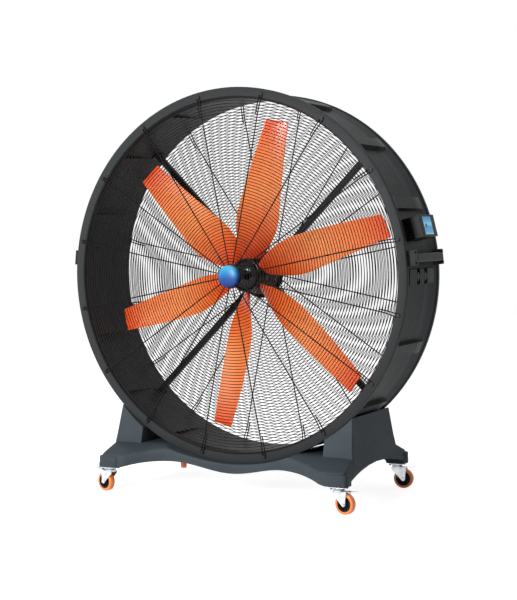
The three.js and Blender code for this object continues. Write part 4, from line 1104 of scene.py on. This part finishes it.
def make_handles():
    bolts = Heap()
    for side, name in ((1, "right"), (-1, "left")):
        angle = HANDLE_ANGLE if side > 0 else pi - HANDLE_ANGLE
        radial, tangent = radial_at(angle), tangent_at(angle)
        ribs = Heap()
        for edge in (-1, 1):
            for index in range(22):
                depth = -0.135 + index * 0.0132
                middle = place(0.969, angle, depth) + tangent * edge * 0.0208
                pillow(
                    ribs, middle, radial, BACKWARD, tangent * edge,
                    (0.017, 0.0062, 0.0032), 0.0028, 0.0012,
                )
        add(f"handle_{name}_ribs", ribs, "black")
        for depth, top in HANDLE_SEATS:
            for edge in (-1, 1):
                seat = place(top, angle, depth) + tangent * edge * 0.026
                hex_bolt(bolts, seat, radial, 0.010, 0.006)
    add("handle_bolts", bolts, "bolt")


# ------------ casters


def caster_frame(name):
    """Stem foot on the floor, trailing direction, axle direction and wheel centre of a caster."""
    swivel, wheel = RECORD_JOINTS[f"swivel_{name}"], RECORD_JOINTS[f"wheel_{name}"]
    stem = Vector((*swivel["pos_m"][:2], 0))
    centre = Vector(wheel["pos_m"])
    trail = Vector((centre.x - stem.x, centre.y - stem.y, 0)).normalized()
    return stem, trail, Vector(wheel["axis"]), centre


def make_wheel(name, hub, axle):
    tread = Heap()
    shoulder = WHEEL_RADIUS - TREAD_CORNER
    half = [(CORE_RADIUS + GAP, -0.0155), (0.0440, -0.0160)]
    half += arc((shoulder, -TREAD_FLAT), TREAD_CORNER, -90, 0, 4)[:-1]
    profile = half + [(WHEEL_RADIUS, 0)] + [(radius, -side) for radius, side in reversed(half)]
    turned(tread, hub, axle, profile, 64, closed=True)
    add(
        f"tread_{name}", tread, "tread",
        [f"wheel_tread_{name}"], body=f"wheel_{name}", sharp=radians(60),
    )
    core = Heap()
    turned(core, hub, axle, [
        (0.0310, -0.0145), (0.0370, -0.0152), (CORE_RADIUS, -0.0145), (CORE_RADIUS, 0.0145),
        (0.0370, 0.0152), (0.0310, 0.0145), (0.0300, 0.0060), (0.0300, -0.0060),
    ], 48, closed=True)
    turned(core, hub, axle, [
        (0.0150, -0.0035), (0.0305, -0.0035), (0.0305, 0.0035), (0.0150, 0.0035),
    ], 48, closed=True)
    turned(core, hub, axle, [
        (0.0056, -0.0158), (0.0130, -0.0158), (0.0155, -0.0120), (0.0160, 0.0), (0.0155, 0.0120),
        (0.0130, 0.0158), (0.0056, 0.0158),
    ], 32, closed=True)
    for radial in spokes(*basis(axle), 10):
        side = axle.cross(radial)
        for face in (-1, 1):
            middle = hub + radial * 0.0228 + axle * face * 0.0080
            pillow(core, middle, radial, side, axle, (0.0158, 0.0026, 0.0100), 0.0008, 0.0008)
    add(f"core_{name}", core, "black", [f"wheel_core_{name}"], body=f"wheel_{name}")


def fork_outline():
    """Side view of a fork leg: along the trail and height."""
    return [
        (-0.026, 0.1088), (-0.027, 0.1010), (-0.024, 0.0960),
        *arc((0.035, WHEEL_RADIUS), 0.0115, 200, 360, 8),
        (0.0475, 0.0700), (0.0515, 0.0980), (0.0515, 0.1090), (0.0490, 0.1123), (0.0440, 0.1130),
        (0.0395, 0.1110),
    ]


def plate_from(heap, outline, to_point, low, high, edge=0.0006):
    """Flat plate from an outline, with softened edges; low and high are along the plate's normal."""
    centre = (sum(a for a, _ in outline) / len(outline), sum(b for _, b in outline) / len(outline))

    def level(inset, height):
        row = []
        for a, b in outline:
            away = Vector((a - centre[0], b - centre[1]))
            shrink = max(0.0, 1 - inset / max(away.length, 1e-6))
            row.append(to_point(centre[0] + away.x * shrink, centre[1] + away.y * shrink, height))
        return row

    heap.loft([level(edge, low), level(0, low + edge), level(0, high - edge), level(edge, high)])


def make_fork(name, stem, trail, axle, wheel):
    fork = Heap()

    def at(along, height, across):
        return stem + trail * along + UP * height + axle * across

    for side in (-1, 1):
        low, high = sorted((side * FORK_INNER, side * FORK_OUTER))
        plate_from(fork, fork_outline(), at, low, high)
    crown = at(0.0050, 0.1068, 0)
    pillow(fork, crown, trail, axle, UP, (0.0640, 0.0450, 0.0040), 0.008, 0.001)
    turned(fork, stem, UP, [
        (0, 0.1075), (0.0270, 0.1075), (0.0280, 0.1090), (0.0280, 0.1130), (0.0255, 0.1150),
        (0.0255, 0.1160), (0.0278, 0.1170), (0, 0.1170),
    ], 40)
    add(f"fork_{name}", fork, "zinc", [f"caster_fork_{name}"], body=f"swivel_{name}")
    bolt = Heap()
    turned(bolt, wheel - axle * 0.0300, axle, disc(0.0049, 0.0600), 24)
    for outward in (axle, -axle):
        hex_bolt(bolt, wheel + outward * (FORK_OUTER + GAP), outward, 0.0138, 0.0058, 1.15)
    add(f"axle_{name}", bolt, "zinc", [f"axle_bolt_{name}"], body=f"swivel_{name}")


def make_plate(name, stem):
    low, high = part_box(f"caster_plate_{name}")
    heap = Heap()
    middle = Vector(((low.x + high.x) / 2, (low.y + high.y) / 2, high.z - 0.0025))
    size = (high.x - low.x, high.y - low.y, 0.005)
    pillow(heap, middle, RIGHT, BACKWARD, UP, size, 0.009, 0.001)
    turned(heap, stem, UP, [
        (0, low.z), (0.0262, low.z), (0.0280, low.z + 0.0015), (0.0280, low.z + 0.0030),
        (0.0245, low.z + 0.0045), (0.0225, high.z - 0.0045), (0, high.z - 0.0045),
    ], 40)
    add(f"top_plate_{name}", heap, "zinc", [f"caster_plate_{name}"])
    bolts = Heap()
    for sx in (-1, 1):
        for sy in (-1, 1):
            seat = Vector((middle.x + sx * 0.0300, middle.y + sy * 0.0245, high.z - 0.005))
            hex_bolt(bolts, seat, -UP, 0.011, 0.0065, 1.2)
    add(f"plate_bolts_{name}", bolts, "bolt")


def make_pedal(name, stem, trail, axle):
    heap = Heap()
    pivot = stem + trail * PEDAL_PIVOT + UP * PEDAL_HEIGHT
    turned(heap, pivot - axle * 0.0179, axle, [
        (0, 0), (0.0031, 0), (0.0035, 0.0004), (0.0035, 0.0354), (0.0031, 0.0358), (0, 0.0358),
    ], 24)
    sections = []
    for step in range(13):
        share = step / 12
        along = 0.001 + (PEDAL_TIP - PEDAL_PIVOT - 0.001) * share
        lift = 0.0070 * max(0.0, (share - 0.35) / 0.65) ** 1.6
        half = 0.0130 + 0.0020 * sin(pi * min(1.0, share * 1.15))
        if share > 0.9:
            half *= sqrt(max(0.05, 1 - ((share - 0.9) / 0.1) ** 2 * 0.7))
        base = pivot + trail * along + UP * lift
        bottom, top, dish = -PEDAL_THICKNESS / 2, PEDAL_THICKNESS / 2, 0.0012 * share
        sections.append([
            base + axle * a * half + UP * b
            for a, b in (
                (-1.0, bottom + dish), (-0.5, bottom), (0.5, bottom), (1.0, bottom + dish),
                (1.0, top + dish), (0.5, top), (-0.5, top), (-1.0, top + dish),
            )
        ])
    heap.loft(sections)
    add(f"pedal_{name}_plate", heap, "chrome", [f"brake_pedal_{name}"], body=f"pedal_{name}")


def make_casters():
    for name in ("front_right", "rear_right", "front_left", "rear_left"):
        stem, trail, axle, wheel = caster_frame(name)
        make_wheel(name, wheel, axle)
        make_fork(name, stem, trail, axle, wheel)
        make_plate(name, stem)
        make_pedal(name, stem, trail, axle)


# ------------ stage, light and camera


def backdrop_strength(graph, seen, unseen):
    """Value for the camera and for reflections, and another for other light."""
    rays = graph.node("ShaderNodeLightPath").outputs
    shown = rays["Is Camera Ray"]
    for kind in ("Is Transmission Ray", "Is Glossy Ray"):
        either = graph.node("ShaderNodeMath", operation="MAXIMUM")
        graph.link(shown, either.inputs[0])
        graph.link(rays[kind], either.inputs[1])
        shown = either.outputs[0]
    return graph.spread(shown, unseen, seen)


def make_floor():
    heap = Heap()
    ends = (-FLOOR_REACH, FLOOR_REACH)
    heap.grid([[Vector((x, y, 0)) for x in ends] for y in ends], close_columns=False)
    mesh = heap.mesh("floor")
    paint = Paint("pale_floor")
    paint.set(Base_Color=(0.82, 0.82, 0.82, 1), Roughness=0.9, Emission_Color=(1, 1, 1, 1))
    paint.feed(backdrop_strength(paint, 0.80, 0.0), "Emission Strength")
    mesh.materials.append(paint.material)
    put("floor", mesh)


def make_world():
    world = bpy.data.worlds.new("studio")
    scene.world = world
    graph = Graph(world, "Background").set(Color=(1, 1, 1, 1))
    graph.feed(backdrop_strength(graph, 1.0, 0.20), "Strength")


def make_lights():
    for name, position, size, power in LIGHTS:
        data = bpy.data.lights.new(name, "AREA")
        data.shape = "RECTANGLE"
        data.size, data.size_y = size
        data.energy = power
        lamp = put(name, data)
        lamp.location = position
        lamp.rotation_euler = (AXIS - Vector(position)).to_track_quat("-Z", "Y").to_euler()


def make_camera():
    data = bpy.data.cameras.new("camera")
    data.sensor_width = SENSOR
    data.lens = FOCAL_PIXELS * SENSOR / PHOTO_HEIGHT
    data.clip_end = 100
    forward = Vector((
        -sin(CAMERA_YAW) * cos(CAMERA_PITCH),
        cos(CAMERA_YAW) * cos(CAMERA_PITCH),
        sin(CAMERA_PITCH),
    ))
    level = Vector((cos(CAMERA_YAW), sin(CAMERA_YAW), 0))
    above = level.cross(forward)
    right = level * cos(CAMERA_ROLL) + above * sin(CAMERA_ROLL)
    up = above * cos(CAMERA_ROLL) - level * sin(CAMERA_ROLL)
    turn = Matrix((right, up, -forward)).transposed().to_4x4()
    camera = put("camera", data)
    camera.matrix_world = Matrix.Translation(AXIS + CAMERA_FROM_AXIS) @ turn
    scene.camera = camera


make_camera()
keep_nodes()
make_drum()
make_guards()
make_blades()
make_hub()
make_motor()
make_struts()
make_base()
make_handles()
make_casters()
make_floor()
make_world()
make_lights()
scene.view_settings.view_transform = "Standard"
